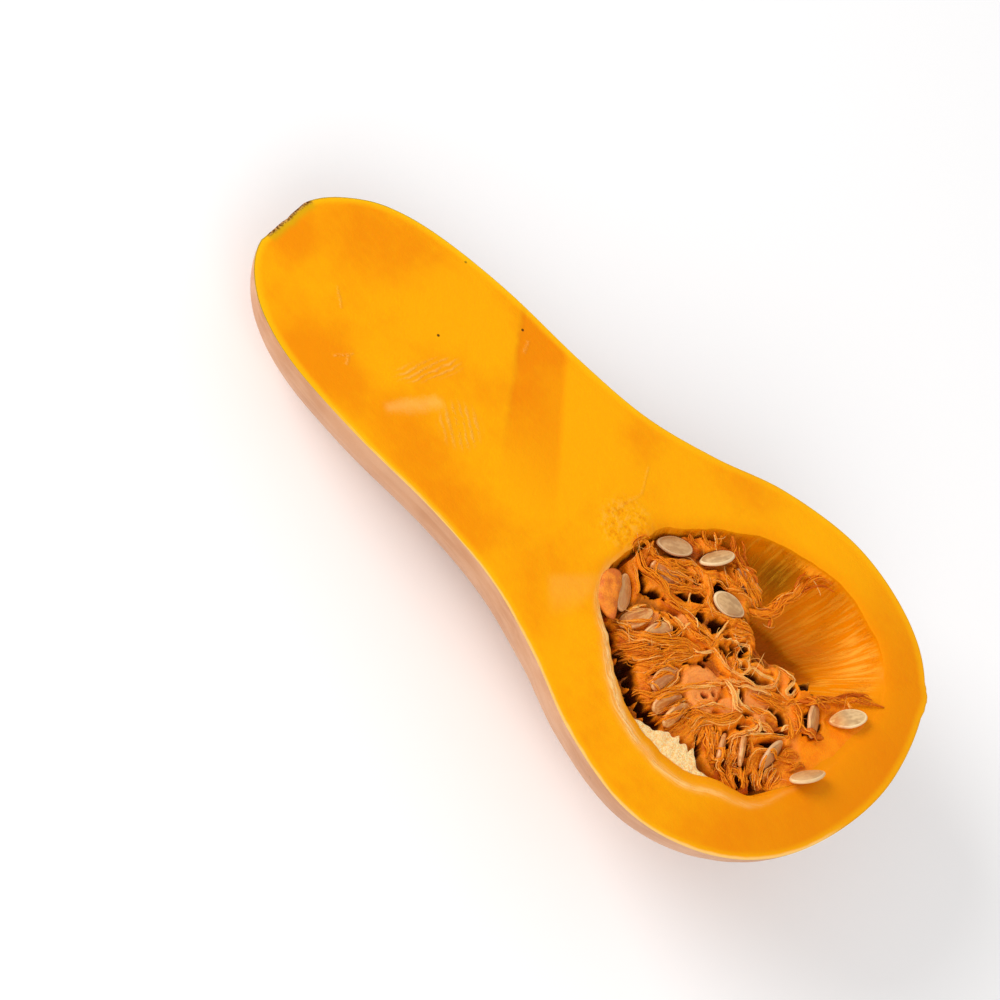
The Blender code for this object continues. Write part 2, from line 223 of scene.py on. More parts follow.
# One material: its Principled shader, and a method that adds any other node
class Finish:
    def __init__(self, name, **constants):
        self.material = bpy.data.materials.new(name)
        self.material.use_nodes = True
        self.tree = self.material.node_tree
        self.shader = self.tree.nodes["Principled BSDF"]
        for key, value in constants.items():
            self.shader.inputs[key.replace("_", " ")].default_value = value

    # A node of that type: settings first, then values or wires into its inputs, by number or name
    def add(self, kind, settings=None, inputs=None, output=0):
        made = self.tree.nodes.new(kind)
        for key, value in (settings or {}).items():
            setattr(made, key, value)
        for key, value in (inputs or {}).items():
            self.feed(made.inputs[key], value)
        return Wire(self, made.outputs[output])

    def feed(self, socket, value):
        if isinstance(value, Wire):
            self.tree.links.new(value.socket, socket)
        else:
            socket.default_value = value

    # A value kept per point of the mesh
    def value(self, name):
        return self.add("ShaderNodeAttribute", {"attribute_name": name}, output=2)

    # A vector kept per point of the mesh
    def vector(self, name):
        return self.add("ShaderNodeAttribute", {"attribute_name": name}, output=1)

    # Cloudy pattern over a vector, its features about 1 / scale across
    def clouds(self, vector, scale, detail=3, roughness=0.5, stretch=(1, 1, 1)):
        if stretch != (1, 1, 1):
            vector = self.add("ShaderNodeVectorMath", {"operation": "MULTIPLY"}, {0: vector, 1: stretch})
        inputs = {"Vector": vector, "Scale": scale, "Detail": detail, "Roughness": roughness}
        return self.add("ShaderNodeTexNoise", {}, inputs)

    # Colour from first to second as the factor goes from 0 to 1
    def blend(self, factor, first, second):
        return self.add("ShaderNodeMix", {"data_type": "RGBA"}, {0: factor, 6: first, 7: second}, output=2)

    # A vector's three values
    def parts(self, vector):
        split = self.add("ShaderNodeSeparateXYZ", {}, {0: vector})
        return [Wire(self, socket) for socket in split.socket.node.outputs]

    # Height in millimetres to a normal
    def relief(self, height):
        return self.add("ShaderNodeBump", {}, {"Height": height, "Distance": mm, "Strength": 1.0})

    # The material, with what changes over the surface fed into its shader
    def finished(self, color, roughness, normal):
        self.feed(self.shader.inputs["Base Color"], color)
        self.feed(self.shader.inputs["Roughness"], roughness)
        self.feed(self.shader.inputs["Normal"], normal)
        return self.material


half = dict(
    # place, half width, depth of flesh and sideways shift of each station, in millimetres
    stations=(
        (-140.5, 0, 0, 4.5), (-138.5, 14, 12, 5), (-131, 25, 24, 5.5), (-119, 33.7, 33, 6.2),
        (-100, 39.6, 39, 6.6), (-70, 42.6, 42.3, 7.3), (-35, 42.9, 42.5, 7.5), (-5, 45.8, 44.5, 7.2),
        (22, 54.5, 49, 6.8), (48, 65.8, 55, 6.5), (78, 71.3, 58.7, 6.2), (104, 65.2, 54, 7.5),
        (124, 51, 42.5, 10), (136, 29.5, 25, 12.5), (141, 0, 0, 12.5),
    ),
    neckSpacing=2.3, bulbSpacing=1.05, bulbFrom=(-15, 20), curveSteps=6000,
    skinSides=110, faceRows=46, wallRows=66, wallCrowding=0.72,
    stemScar=dict(radius=11, depth=0.9, before=-131, rough=0.9),
    blossomScar=dict(place=(133.4, 50), radius=7, height=1.2),
    middle=(70, 10), depth=41,
    # tables by angle round the middle, in equal steps from the blossom end towards +y
    rim=(
        52.1, 55.7, 58.4, 58.4, 55.5, 52.4, 48.3, 45.8, 44.0, 43.1, 44.1, 47.3,
        47.8, 50.5, 49.7, 46.3, 46.9, 48.3, 48.8, 50.1, 48.7, 52.5, 51.1, 51.8,
    ),
    steepness=(0.8, 0.9, 2.1, 2.3, 2.1, 1.8, 1.6, 2.4, 3.1, 3.2, 2.4, 1.0),
    rounding=(4.2, 3.4, 2.2, 2.6, 3.2, 2.8, 2.4, 1.2, 0.5, 0.5, 0.9, 3.0),
    # the rounded edge's drop as a share of its size, and the depth over which it dies away
    roundShare=0.28, roundFade=2,
    # radius at which patterns that run round the rim are read
    patternRadius=50,
    # the shoulder outside the rim: its width and drop, and the pale strip along it
    shoulder=dict(
        width=(1, 0.6, 0.6, 0.6, 0.8, 1.2, 1.5, 2.4, 4.2, 6.4, 4.5, 1.6),
        drop=(0.1, 0.1, 0.1, 0.1, 0.1, 0.2, 0.2, 0.3, 0.7, 1.5, 1.1, 0.4),
        stripAt=(0, 0, 0, 0, 0, 0, 0, 0.6, 2.0, 5.0, 5.2, 1.5),
        stripWidth=(1, 1, 1, 1, 1, 1, 1, 1.3, 1.9, 1.4, 1.2, 1),
        stripStrength=(0, 0, 0, 0, 0, 0, 0.1, 0.7, 1, 0.9, 0.5, 0.1),
    ),
    # torn ledge: degrees round the middle, and how far it juts in there
    ledge=(
        (256, 0), (259, 0.6), (261, 2), (266, 3.8), (270, 5.3), (273, 7.1), (277, 7.5), (281, 9.2),
        (284, 9), (286, 7.9), (287.5, 9), (289, 6.5), (291, 4.4), (293, 2.4), (296, 1), (299, 0),
    ),
    # soft patches on the face: middle, radius, and how much deeper or, below 0, yellower they are
    patches=(
        (-132, 2.3, 9, 0.9), (-118, 27.5, 13, 0.5), (-104, 37, 13, 0.5), (-93, -23, 11, 0.75),
        (-104, -23, 9, 0.4), (-61, -21.5, 13, 0.5), (-40, -29, 15, 0.55), (-80, -25, 10, 0.55),
        (-22, -31, 13, 0.35), (-112, 12, 9, 0.3), (-75, 32, 13, -0.6), (-59, 29, 9, -0.5),
        (-81, -10, 9, -0.5), (-17, 36, 17, -0.5), (-15, -1, 14, -0.5), (-85, 7, 10, -0.3), (-5, 44, 8, 0.5),
        (3, 7, 7, 0.3), (36, 57, 10, 0.3), (30, -33, 14, -0.3), (60, -48, 14, 0.25), (12, -38, 12, 0.3),
        (100, -44, 16, 0.25), (78, 72, 12, -0.2),
    ),
    # ridge on the far wall: degrees, spread in degrees, height
    ridge=(84, 6, 3.2),
    # painted highlight on the far wall's streaks: degrees, spread in degrees, depth, reach in depth
    paintedHighlight=dict(angle=45, spread=19, depth=9, reach=6),
    # the pocket's brow: degrees from and to, share of the way to the rim, spread, height
    brow=(30, 96, 0.74, 0.05, 2.4),
    # painted olive-brown shade in a hollow high on the far wall: degrees, spread, depth, spread
    hollow=(94, 11, 16, 8),
)


# Rows along the squash from pole to pole: a smooth curve through the stations, spaced by the outline's length
def outlineRows():
    stations = np.array(half["stations"], float)
    mirror = (1, -1, -1, 1)
    rows = np.vstack((stations[1] * mirror, stations, stations[-2] * mirror))

    def along(t):
        index = np.clip(np.floor(t).astype(int), 0, len(stations) - 2)
        return cubic(*(rows[index + i] for i in range(4)), (t - index)[:, None])

    fine = np.linspace(0, len(stations) - 1, half["curveSteps"])
    curve = along(fine)
    spacing = np.interp(curve[1:, 0], half["bulbFrom"], (half["neckSpacing"], half["bulbSpacing"]))
    travelled = np.append(0, np.cumsum(np.hypot(*np.diff(curve[:, :2], axis=0).T) / spacing))
    steps = np.linspace(0, travelled[-1], int(round(travelled[-1])) + 1)
    return along(np.interp(steps, travelled, fine))


# Skin: at each row an arc of the circle through both cut edges and the lowest point; a dish at the stem
# (depth times 1 - r^2), a boss at the blossom scar, and gentle dents that fade out at the cut
def skinGrid(rows):
    place, width, depth, shift = (rows[1:-1, i, None] for i in range(4))
    radius = (width**2 + depth**2) / (2 * depth)
    turn = np.arctan2(width, radius - depth) * np.linspace(-1, 1, half["skinSides"] + 1)
    grid = np.stack(
        np.broadcast_arrays(place, shift + radius * np.sin(turn), radius - depth - radius * np.cos(turn)),
        axis=-1,
    )
    grid[:, [0, -1], 2] = 0
    return scarred(np.concatenate((
        [[rows[0, 0], rows[0, 3], 0], [rows[-1, 0], rows[-1, 3], 0]], grid.reshape(-1, 3),
    )))


# The stem's dish with a rough bottom, the blossom boss and the skin's dents
def scarred(points):
    stem, boss = half["stemScar"], half["blossomScar"]
    tip = np.array((half["stations"][0][0], half["stations"][0][3], 0))
    reach = np.linalg.norm((points - tip)[:, 1:], axis=1) / stem["radius"]
    inDish = (points[:, 0] < stem["before"]) & (reach < 1)
    crumble = stem["rough"] * np.abs(wander(points, 1.7, 3)) * (1 - reach**4)
    points[:, 0] += np.where(inDish, stem["depth"] * (1 - reach**2) + crumble, 0)
    away = np.linalg.norm(points - (*boss["place"], 0), axis=1) / boss["radius"]
    lift = boss["height"] * np.clip(1 - away**2, 0, None) * (1 - 0.5 * np.abs(wander(points, 1.5, 4)))
    outward = (points - (*half["middle"], 0)) * (1, 1, 0)
    outward /= np.maximum(np.linalg.norm(outward, axis=1, keepdims=True), 1)
    dents = -0.35 * np.abs(wander(points, 26, 5)) - 0.12 * np.abs(wander(points, 7, 6))
    dents *= easeStep(-points[:, 2], 1, 14) * easeStep(points[:, 2] + 55, 0, 6)
    return points + outward * (lift + dents)[:, None]


# Where a place lies in the cavity: its share of the way to the rim, and its angle
def shareAndAngle(x, y):
    dx, dy = x - half["middle"][0], y - half["middle"][1]
    angle = np.arctan2(dy, dx)
    return np.hypot(dx, dy) / byAngle(half["rim"], angle), angle


# The cavity's floor: share^steepness + (depth / deepest)^steepness = 1
def floorHeight(x, y):
    share, angle = shareAndAngle(x, y)
    power = byAngle(half["steepness"], angle)
    return -half["depth"] * np.clip(1 - share**power, 0, 1) ** (1 / power)


# How far the cut's rounded edge lies below a sharp one at each depth: its own drop and the shoulder's, times
# exp(-depth / fade)
def roundedAway(angle, depth):
    drop = half["roundShare"] * byAngle(half["rounding"], angle) + byAngle(half["shoulder"]["drop"], angle)
    return drop * np.exp(-depth / half["roundFade"])


# A bell over the turn: exp(-(degrees away / spread)^2)
def bellAt(angle, middle, spread):
    away = (np.degrees(angle) - middle + 180) % 360 - 180
    return np.exp(-((away / spread) ** 2))


# The body: the skin, then rays from its cut edge in over the face, over the rim and down the cavity's wall
# to one point. Down the wall the share is cos(dip)^(2/p) and the depth sin(dip)^(2/p) of the deepest.
def makeHalf(fleshMaterial, skinMaterial):
    rows = outlineRows()
    skin = skinGrid(rows)
    stations, sides = len(rows) - 2, half["skinSides"] + 1
    numbers = 2 + np.arange(stations * sides).reshape(stations, sides)
    edge = np.concatenate(([0], numbers[:, -1], [1], numbers[::-1, 0]))
    outline = skin[edge][:, :2]
    angle = np.arctan2(*(outline - half["middle"]).T[::-1])
    ways = np.stack((np.cos(angle), np.sin(angle)), axis=-1)
    rimSpace = np.column_stack((ways * half["patternRadius"], np.zeros(len(ways))))
    crisp = byAngle(half["rounding"], angle)
    rim = byAngle(half["rim"], angle) + wander(rimSpace, 9, 11) * 0.5 + wander(rimSpace, 2.6, 12) * 0.3
    rimPoints = half["middle"] + rim[:, None] * ways

    shares = 0.5 + 0.5 * np.cos(np.linspace(0, math.pi, half["faceRows"] + 1)[1:])
    shares = (0.5 * shares + 0.5 * np.linspace(1, 0, half["faceRows"] + 1)[1:])[:, None, None]
    face = rimPoints + shares * (outline - rimPoints)
    fromRim = np.linalg.norm(face - rimPoints, axis=2)
    shoulder = {key: byAngle(table, angle) for key, table in half["shoulder"].items()}
    roundOff = half["roundShare"] * crisp * np.exp(-fromRim / crisp)
    roundOff = roundOff + shoulder["drop"] * np.clip(1 - fromRim / shoulder["width"], 0, 1) ** 1.5
    waves = 0.10 * wander(np.dstack((face, 0 * fromRim)), 14, 13) * np.minimum(fromRim / 3, 1)
    waves = waves * (shares[..., 0] < 0.98)
    face = np.dstack((face, waves - roundOff))

    power = byAngle(half["steepness"], angle)
    dips = np.linspace(0, 1, half["wallRows"] + 2)[1:-1, None] ** (half["wallCrowding"] * power) * math.pi / 2
    wallShare = np.cos(dips) ** (2 / power)
    depth = half["depth"] * np.sin(dips) ** (2 / power)
    reach = np.interp(np.degrees(angle) % 360, *np.transpose(half["ledge"]))
    reach = reach * (1 + 0.25 * wander(rimSpace, 1.9, 14))
    jut = reach * easeStep(depth, 0.1, 2.2) * (1 - easeStep(depth, 3.2, 12))
    ridge = half["ridge"]
    jut = jut + ridge[2] * bellAt(angle, *ridge[:2]) * easeStep(depth, 1, 6) * (1 - easeStep(depth, 18, 30))
    low, high, at, spreadOut, rise = half["brow"]
    turned = np.degrees(angle)
    underBrow = easeStep(turned, low, low + 12) * (1 - easeStep(turned, high - 10, high))
    jut = jut + rise * underBrow * np.exp(-(((wallShare - at) / spreadOut) ** 2))
    wall = half["middle"] + (rim * wallShare - jut)[..., None] * ways
    # painted shade: the wall under the pocket's brow and near the cavity's bottom is painted darker
    pocketShade = (1 - easeStep(wallShare + 0.02 * wander(rimSpace, 3, 19), at - 0.09, at - 0.01)) * underBrow
    pocketShade = np.maximum(pocketShade, easeStep(depth, 30, 38))
    # where the painted shade of the hollow lies on the wall
    olive = half["hollow"]
    hollowShadeMask = bellAt(angle, *olive[:2]) * np.exp(-(((depth - olive[2]) / olive[3]) ** 2))
    wall = np.dstack((wall, -depth - roundedAway(angle, depth)))
    torn = easeStep(reach, 0.3, 1.2) * easeStep(depth, 0.05, 0.35) * (1 - easeStep(depth, 3.0, 5))
    wall[..., 2] += torn * (0.4 * wander(wall, 1.5, 17) + 0.2 * wander(wall, 0.7, 18))
    dimples = 0.9 * wander(wall, 11, 15) + 0.3 * wander(wall, 4, 16)
    wall[..., :2] += (dimples * np.sin(dips) * np.cos(dips))[..., None] * ways

    sheets = np.concatenate((face, wall))
    sheetNumbers = len(skin) + np.arange(sheets[..., 0].size).reshape(sheets.shape[:2])
    points = np.concatenate((skin, sheets.reshape(-1, 3), [(*half["middle"], -half["depth"])]))
    # the skin rests on two flats at the ground, as its solid does
    grounded = laidDown(points)
    grounded[:, 2] = np.maximum(grounded[:, 2], cadBox[0][2])
    points = lifted(grounded)

    skinFaces = [gridFaces(numbers)]
    for tip, ring in ((0, numbers[0]), (1, numbers[-1][::-1])):
        skinFaces.append(np.stack((np.full(len(ring) - 1, tip), ring[1:], ring[:-1]), axis=-1))
    fleshFaces = [
        gridFaces(np.vstack((edge, sheetNumbers)), around=True),
        fanFaces(len(points) - 1, sheetNumbers[-1])[:, ::-1],
    ]
    # the two sheets run opposite ways round the shared edge
    fleshFaces = [block[:, ::-1] for block in fleshFaces]
    faces = skinFaces + fleshFaces
    isFlesh = np.concatenate([np.full(len(block), i >= len(skinFaces)) for i, block in enumerate(faces)])

    rind = np.concatenate([
        np.min(np.hypot(*(row[:, None, :2] - outline[None]).transpose(2, 0, 1)), axis=1) for row in face
    ])
    skinCount, wallCount = len(skin), wall[..., 0].size

    # a value over the skin, the face, the wall and the lowest point
    def spread(onSkin, onFace, onWall, last):
        parts = (np.full(skinCount, onSkin), np.broadcast_to(onFace, face.shape[:2]).ravel(),
                 np.broadcast_to(onWall, wall.shape[:2]).ravel(), [last])
        return np.concatenate(parts)

    fromStrip = (fromRim - shoulder["stripAt"]) / shoulder["stripWidth"]
    strip = np.exp(-(fromStrip**2)) * shoulder["stripStrength"]
    # where the painted highlight lies on the wall
    paintedHighlight = half["paintedHighlight"]
    fromGlow = (depth - paintedHighlight["depth"]) / paintedHighlight["reach"]
    lit = bellAt(angle, paintedHighlight["angle"], paintedHighlight["spread"]) * np.exp(-(fromGlow**2))
    path = np.linalg.norm(np.diff(sheets, axis=0, prepend=sheets[:1]), axis=2).cumsum(axis=0)
    path -= path[half["faceRows"] - 1]
    wallSpace = np.zeros((len(points), 3))
    roundRim = np.broadcast_to(ways * half["patternRadius"], (*path.shape, 2))
    wallSpace[skinCount:-1] = np.dstack((roundRim, path)).reshape(-1, 3)
    patches = 0.28 * wander(face, 22, 20)
    for px, py, size, strength in half["patches"]:
        apart = (face[..., 0] - px) ** 2 + (face[..., 1] - py) ** 2
        patches = patches + strength * np.exp(-(apart / size**2))
    values = {
        "place": points,
        "patches": spread(0, patches, 0, 0),
        "rind": np.concatenate((np.zeros(skinCount), rind, np.full(wallCount + 1, 30))),
        "dip": spread(0, 0, depth, half["depth"]),
        "torn": spread(0, 0, torn, 0),
        "strip": spread(0, strip, strip[0] * np.exp(-depth / 1.2) * (torn < 0.2), 0),
        "paintedHighlight": spread(0, 0, lit, 0),
        # painted shade on the wall in the pocket and near the cavity's bottom
        "pocket": spread(0, 0, pocketShade, 1),
        "hollow": spread(0, 0, hollowShadeMask, 0),
        "wallSpace": wallSpace,
        "fromRim": spread(99, fromRim, 0, 0),
    }
    addPiece(
        "squashHalf", points, faces, values, [fleshMaterial, skinMaterial], ["squash_half"],
        faceMaterial=1 - isFlesh, sharpAngle=38,
    )


# Flesh: yellow orange with deeper clouds, a yellow band along the rind, knife marks on the neck, and a
# streaked cavity wall with painted shade that darkens it in the pocket, in a hollow and with depth, and a
# painted highlight on its lit streaks
def fleshFinish():
    looks = dict(
        flesh=tone(246, 165, 0), deep=tone(235, 134, 0), blossomEnd=tone(220, 116, 0), rind=tone(246, 184, 8),
        peeled=tone(255, 214, 140), speck=tone(60, 32, 8),
        edge=tone(128, 124, 36), pale=tone(255, 198, 110), torn=tone(255, 222, 160),
        # the wall's highlight colour on the next line is painted light
        wall=tone(240, 136, 0), wallPale=tone(255, 178, 46), wallHighlight=tone(255, 190, 74),
        # the wall's pocket colour on the next line is painted shade
        wallPocketShade=tone(216, 116, 10), tornShade=tone(255, 190, 112),
        strip=tone(255, 204, 130), stripShade=tone(246, 170, 80),
        # the hollow's two colours on the next line are painted shade, the paler one for its streaks
        hollow=tone(178, 108, 10), hollowPale=tone(226, 160, 30),
        scar=tone(92, 50, 12), scarPale=tone(214, 160, 96), olive=tone(206, 160, 10), fibre=tone(226, 92, 4),
    )
    finish = Finish("squashFlesh", Subsurface_Weight=0.1, Subsurface_Scale=0.003, Specular_IOR_Level=0.07)
    finish.shader.inputs["Subsurface Radius"].default_value = (1.0, 0.4, 0.06)
    place = finish.vector("place")
    x, y = finish.parts(place)[:2]
    wallSpace = finish.vector("wallSpace")
    rind, dip, torn = finish.value("rind"), finish.value("dip"), finish.value("torn")
    fromRim, strip, paintedHighlight = finish.value("fromRim"), finish.value("strip"), finish.value("paintedHighlight")

    broad = finish.clouds(place, 0.035, detail=4, roughness=0.55)
    middling = finish.clouds(place, 0.16, detail=3)
    fine = finish.clouds(place, 1.4, detail=4, roughness=0.6)

    # distance right of a line through a place, given the way square to it
    def beyond(px, py, wayX, wayY):
        return (x - px) * wayX + (y - py) * wayY

    # a soft stroke from one place to another: 1 on it, 0 at its half width, its line unsteady
    def stroke(x1, y1, x2, y2, width, unsteady=1.5):
        length = math.hypot(x2 - x1, y2 - y1)
        wayX, wayY = (x2 - x1) / length, (y2 - y1) / length
        along = beyond((x1 + x2) / 2, (y1 + y2) / 2, wayX, wayY).math("ABSOLUTE")
        wobble = (middling - 0.5) * unsteady + (fine - 0.5) * unsteady
        aside = (beyond(x1, y1, -wayY, wayX) + wobble).math("ABSOLUTE")
        return (1 - aside.step(0, width)) * (1 - along.step(length * 0.4, length * 0.55))

    # the facet left by a second stroke of the knife, between two lines across the neck, painted deeper,
    # partly its own tone and partly painted shade where it tilts from the light; darkest at its top
    left, right = beyond(-57.6, 41.3, 0.852, 0.523), beyond(-36.3, 44.7, 0.818, 0.576)
    inside = (left + middling * 2).step(0.2, 3.4) * (1 - right.step(-2.5, 1))
    facetToneAndShade = inside * (y.step(-14, 24) * 0.62 + y.step(27, 33) * (1 - x.step(-47, -44)) * 0.3)
    # two fans of fine ripples: middle, way along them, spacing, half length and half width, way of the patch
    fans = (
        ((-69, 3), (0.25, 0.968), 2.0, (15, 4.5), (0.47, 0.88)),
        ((-48, -4), (0.794, -0.608), 2.5, (10, 9), (0.794, -0.608)),
    )
    ripples = 0
    for middle, way, spacing, size, lean in fans:
        across = beyond(*middle, -way[1], way[0])
        wave = (across * (2 * math.pi / spacing) + middling * 8 + fine * 1.2).math("SINE") * 0.5 + 0.5
        outLong = beyond(*middle, *lean) / size[0]
        outWide = beyond(*middle, -lean[1], lean[0]) / size[1]
        inside = 1 - (outLong * outLong + outWide * outWide).step(0.3, 1.1)
        ripples = ripples + (wave**2) * inside * (middling * 0.5 + fine * 0.5).step(0.4, 0.6)
    cracks = stroke(-110.6, 1.7, -104, -3.7, 0.8) + stroke(-94.5, -19.7, -90.1, -13.2, 0.8)
    cracks = cracks + stroke(-91, -15, -88.9, -18.5, 1) + stroke(-52.3, 41.2, -50.3, 35.6, 0.9)
    flake = stroke(7.4, 38.5, 12.3, 28, 0.8) + stroke(12.3, 28.5, 8.6, 13.2, 0.9)
    specks = 0
    for px, py in ((-87.2, 46.2), (-75.2, 16.1), (-56.6, 42.5)):
        dx, dy = x - px, y - py
        specks = specks + (1 - (dx * dx + dy * dy).step(0.15, 0.4))

    grain = finish.clouds(place, 0.5, detail=3, stretch=(0.35, 1, 1))
    cloudy = (broad - 0.5) * 1.6 + (middling - 0.5) * 0.5 + (grain - 0.5) * 0.3
    deepness = (finish.value("patches") + cloudy).step(-0.35, 0.85)
    # the facet's deeper colour is partly painted shade
    color = finish.blend((deepness * 0.85 + facetToneAndShade).math("MINIMUM", 1), looks["flesh"], looks["deep"])
    # deeper and darker towards the blossom end: partly the bulb's own deeper orange, partly painted shade
    color = finish.blend(x.step(62, 150) * 0.8, color, looks["blossomEnd"])
    # a faint paler square beside the cavity, with straight soft edges
    below, aside = beyond(7.5, -21.5, 0.753, -0.658), beyond(7.5, -21.5, 0.772, 0.635)
    square = below.step(-1.5, 2.5) * aside.step(-1.5, 2.5) * (1 - below.step(5, 17)) * (1 - x.step(20, 25))
    square = square * (fine * 0.6 + 0.2)
    smear = stroke(-69.9, -19.9, -57.6, -1.9, 4, 4)
    scratches = (cracks + flake * 0.5) * fine.step(0.42, 0.6)
    marks = ripples * 0.32 + smear * 0.3 + square * 0.22 + scratches * 0.28
    color = finish.blend(marks.math("MINIMUM", 1), color, looks["pale"])
    color = finish.blend(specks.math("MINIMUM", 1) * 0.9, color, looks["speck"])
    # a rough patch beside the cavity's corner
    dx, dy = x - 15, y - 15
    patch = 1 - (dx * dx + dy * dy).step(30, 150)
    crumbs = finish.clouds(place, 0.4, detail=5, roughness=0.6)
    color = finish.blend(patch * crumbs.step(0.5, 0.62) * 0.14, color, looks["pale"])
    color = finish.blend(patch * (1 - crumbs.step(0.38, 0.48)) * 0.5, color, looks["blossomEnd"])
    band = (1 - rind.step(0.9, 3.4)) * (0.3 + middling * 0.3 + (1 - x.step(-60, 60)) * 0.35)
    color = finish.blend(band, color, looks["rind"])
    thin = 1 - (rind + fine * 0.6).step(0.3, 0.95)
    color = finish.blend(thin * (0.35 + (1 - x.step(-130, 20)) * 0.5), color, looks["edge"])
    peeled = (1 - (rind + middling).step(1.0, 1.8)) * (1 - y.step(-24, -8)) * x.step(-100, -50)
    color = finish.blend(peeled * 0.55, color, looks["peeled"])
    ring = (1 - fromRim.step(0, 6)) * 0.45
    color = finish.blend(ring * (1 - band), color, looks["deep"])
    # the stem's scar where the cut meets it
    dy = y - 7.7
    atStem = (1 - x.step(-137, -131.5)) * (1 - (dy * dy).step(95, 150))
    color = finish.blend(atStem * (1 - rind.step(1.5, 5)) * 0.8, color, looks["olive"])
    scarring = finish.clouds(place, 1.0, detail=4, roughness=0.65)
    color = finish.blend(
        atStem * (1 - (rind + scarring * 2.4).step(1.4, 3.0)), color,
        finish.blend(scarring.step(0.44, 0.6), looks["scar"], looks["scarPale"]),
    )

    # the cavity's wall
    streaks = finish.clouds(wallSpace, 0.8, detail=4, roughness=0.6, stretch=(1, 1, 0.07)).step(0.44, 0.62)
    wallColor = finish.blend(streaks * 0.4, looks["wall"], looks["wallPale"])
    # painted highlight on the streaks of the wall's lit side
    wallColor = finish.blend(paintedHighlight * streaks * 0.45, wallColor, looks["wallHighlight"])
    # painted olive-brown shade, still streaked, high on the far wall
    hollowShadeColor = finish.blend(streaks, looks["hollow"], looks["hollowPale"])
    wallColor = finish.blend(finish.value("hollow"), wallColor, hollowShadeColor)
    # painted shade in the pocket and towards the cavity's bottom
    wallColor = finish.blend(finish.value("pocket"), wallColor, looks["wallPocketShade"])
    fringe = finish.clouds(wallSpace, 0.5, detail=4, roughness=0.7, stretch=(1, 1, 0.25)).step(0.5, 0.62)
    wallColor = finish.blend(fringe * (1 - dip.step(2, 8)) * 0.1, wallColor, looks["fibre"])
    onWall = dip.step(0.2, 3.5)
    color = finish.blend(onWall, color, wallColor)
    lines = finish.clouds(wallSpace, 0.6, detail=4, roughness=0.6, stretch=(0.25, 0.25, 2.2)).step(0.4, 0.6)
    stripColor = finish.blend(lines, looks["stripShade"], looks["strip"])
    color = finish.blend(strip, color, stripColor)
    pores = finish.clouds(place, 1.1, detail=5, roughness=0.7)
    tornColor = finish.blend(pores.step(0.4, 0.56), looks["tornShade"], looks["torn"])
    color = finish.blend(torn, color, tornColor)

    height = fine * 0.10 + middling * 0.2 + ripples * 0.14 + grain * 0.12 + (cracks + flake) * 0.12
    height = height - facetToneAndShade * 0.25 + streaks * onWall * 0.15 + pores * torn * 0.55 + crumbs * patch * 0.7
    height = height + lines * strip * 0.15 + fringe * onWall * (1 - dip.step(4, 10)) * 0.2
    rough = 0.36 + fine * 0.14 + torn * 0.3
    return finish.finished(color, rough, finish.relief(height))


# Skin: tan with lengthwise streaks, small brown flecks, rough brown scars at both ends
def skinFinish():
    looks = dict(
        tan=tone(206, 150, 108), warm=tone(188, 128, 84), pale=tone(218, 170, 132),
        fleck=tone(120, 76, 40), scar=tone(112, 86, 50), scarPale=tone(190, 164, 112),
    )
    finish = Finish("squashSkin", Specular_IOR_Level=0.35)
    place = finish.vector("place")
    x, y, z = finish.parts(place)
    streaks = finish.clouds(place, 0.3, detail=4, roughness=0.6, stretch=(0.12, 1, 1)).step(0.4, 0.66)
    broad = finish.clouds(place, 0.02, detail=3).step(0.4, 0.62)
    fine = finish.clouds(place, 1.8, detail=3)
    flecks = finish.clouds(place, 0.22, detail=2, roughness=0.7, stretch=(0.7, 1, 1)).step(0.735, 0.775)
    color = finish.blend(broad, looks["tan"], looks["warm"])
    color = finish.blend(streaks * 0.4, color, looks["pale"])
    color = finish.blend(flecks * 0.6, color, looks["fleck"])
    dx, dy = x - 133.4, y - 50
    blossom = 1 - (dx * dx + dy * dy + z * z).step(9, 60)
    dy = y - 5
    stem = (1 - (dy * dy + z * z).step(60, 190)) * (1 - x.step(-137, -131))
    scars = (blossom + stem).math("MINIMUM", 1)
    crust = finish.clouds(place, 0.9, detail=4).step(0.42, 0.6)
    scarColor = finish.blend(crust, looks["scar"], looks["scarPale"])
    color = finish.blend(scars, color, scarColor)
    height = fine * 0.06 + streaks * 0.05 - flecks * 0.15 + finish.clouds(place, 1.1, detail=4) * scars * 1.2
    return finish.finished(color, 0.42 + fine * 0.12 + scars * 0.3, finish.relief(height))


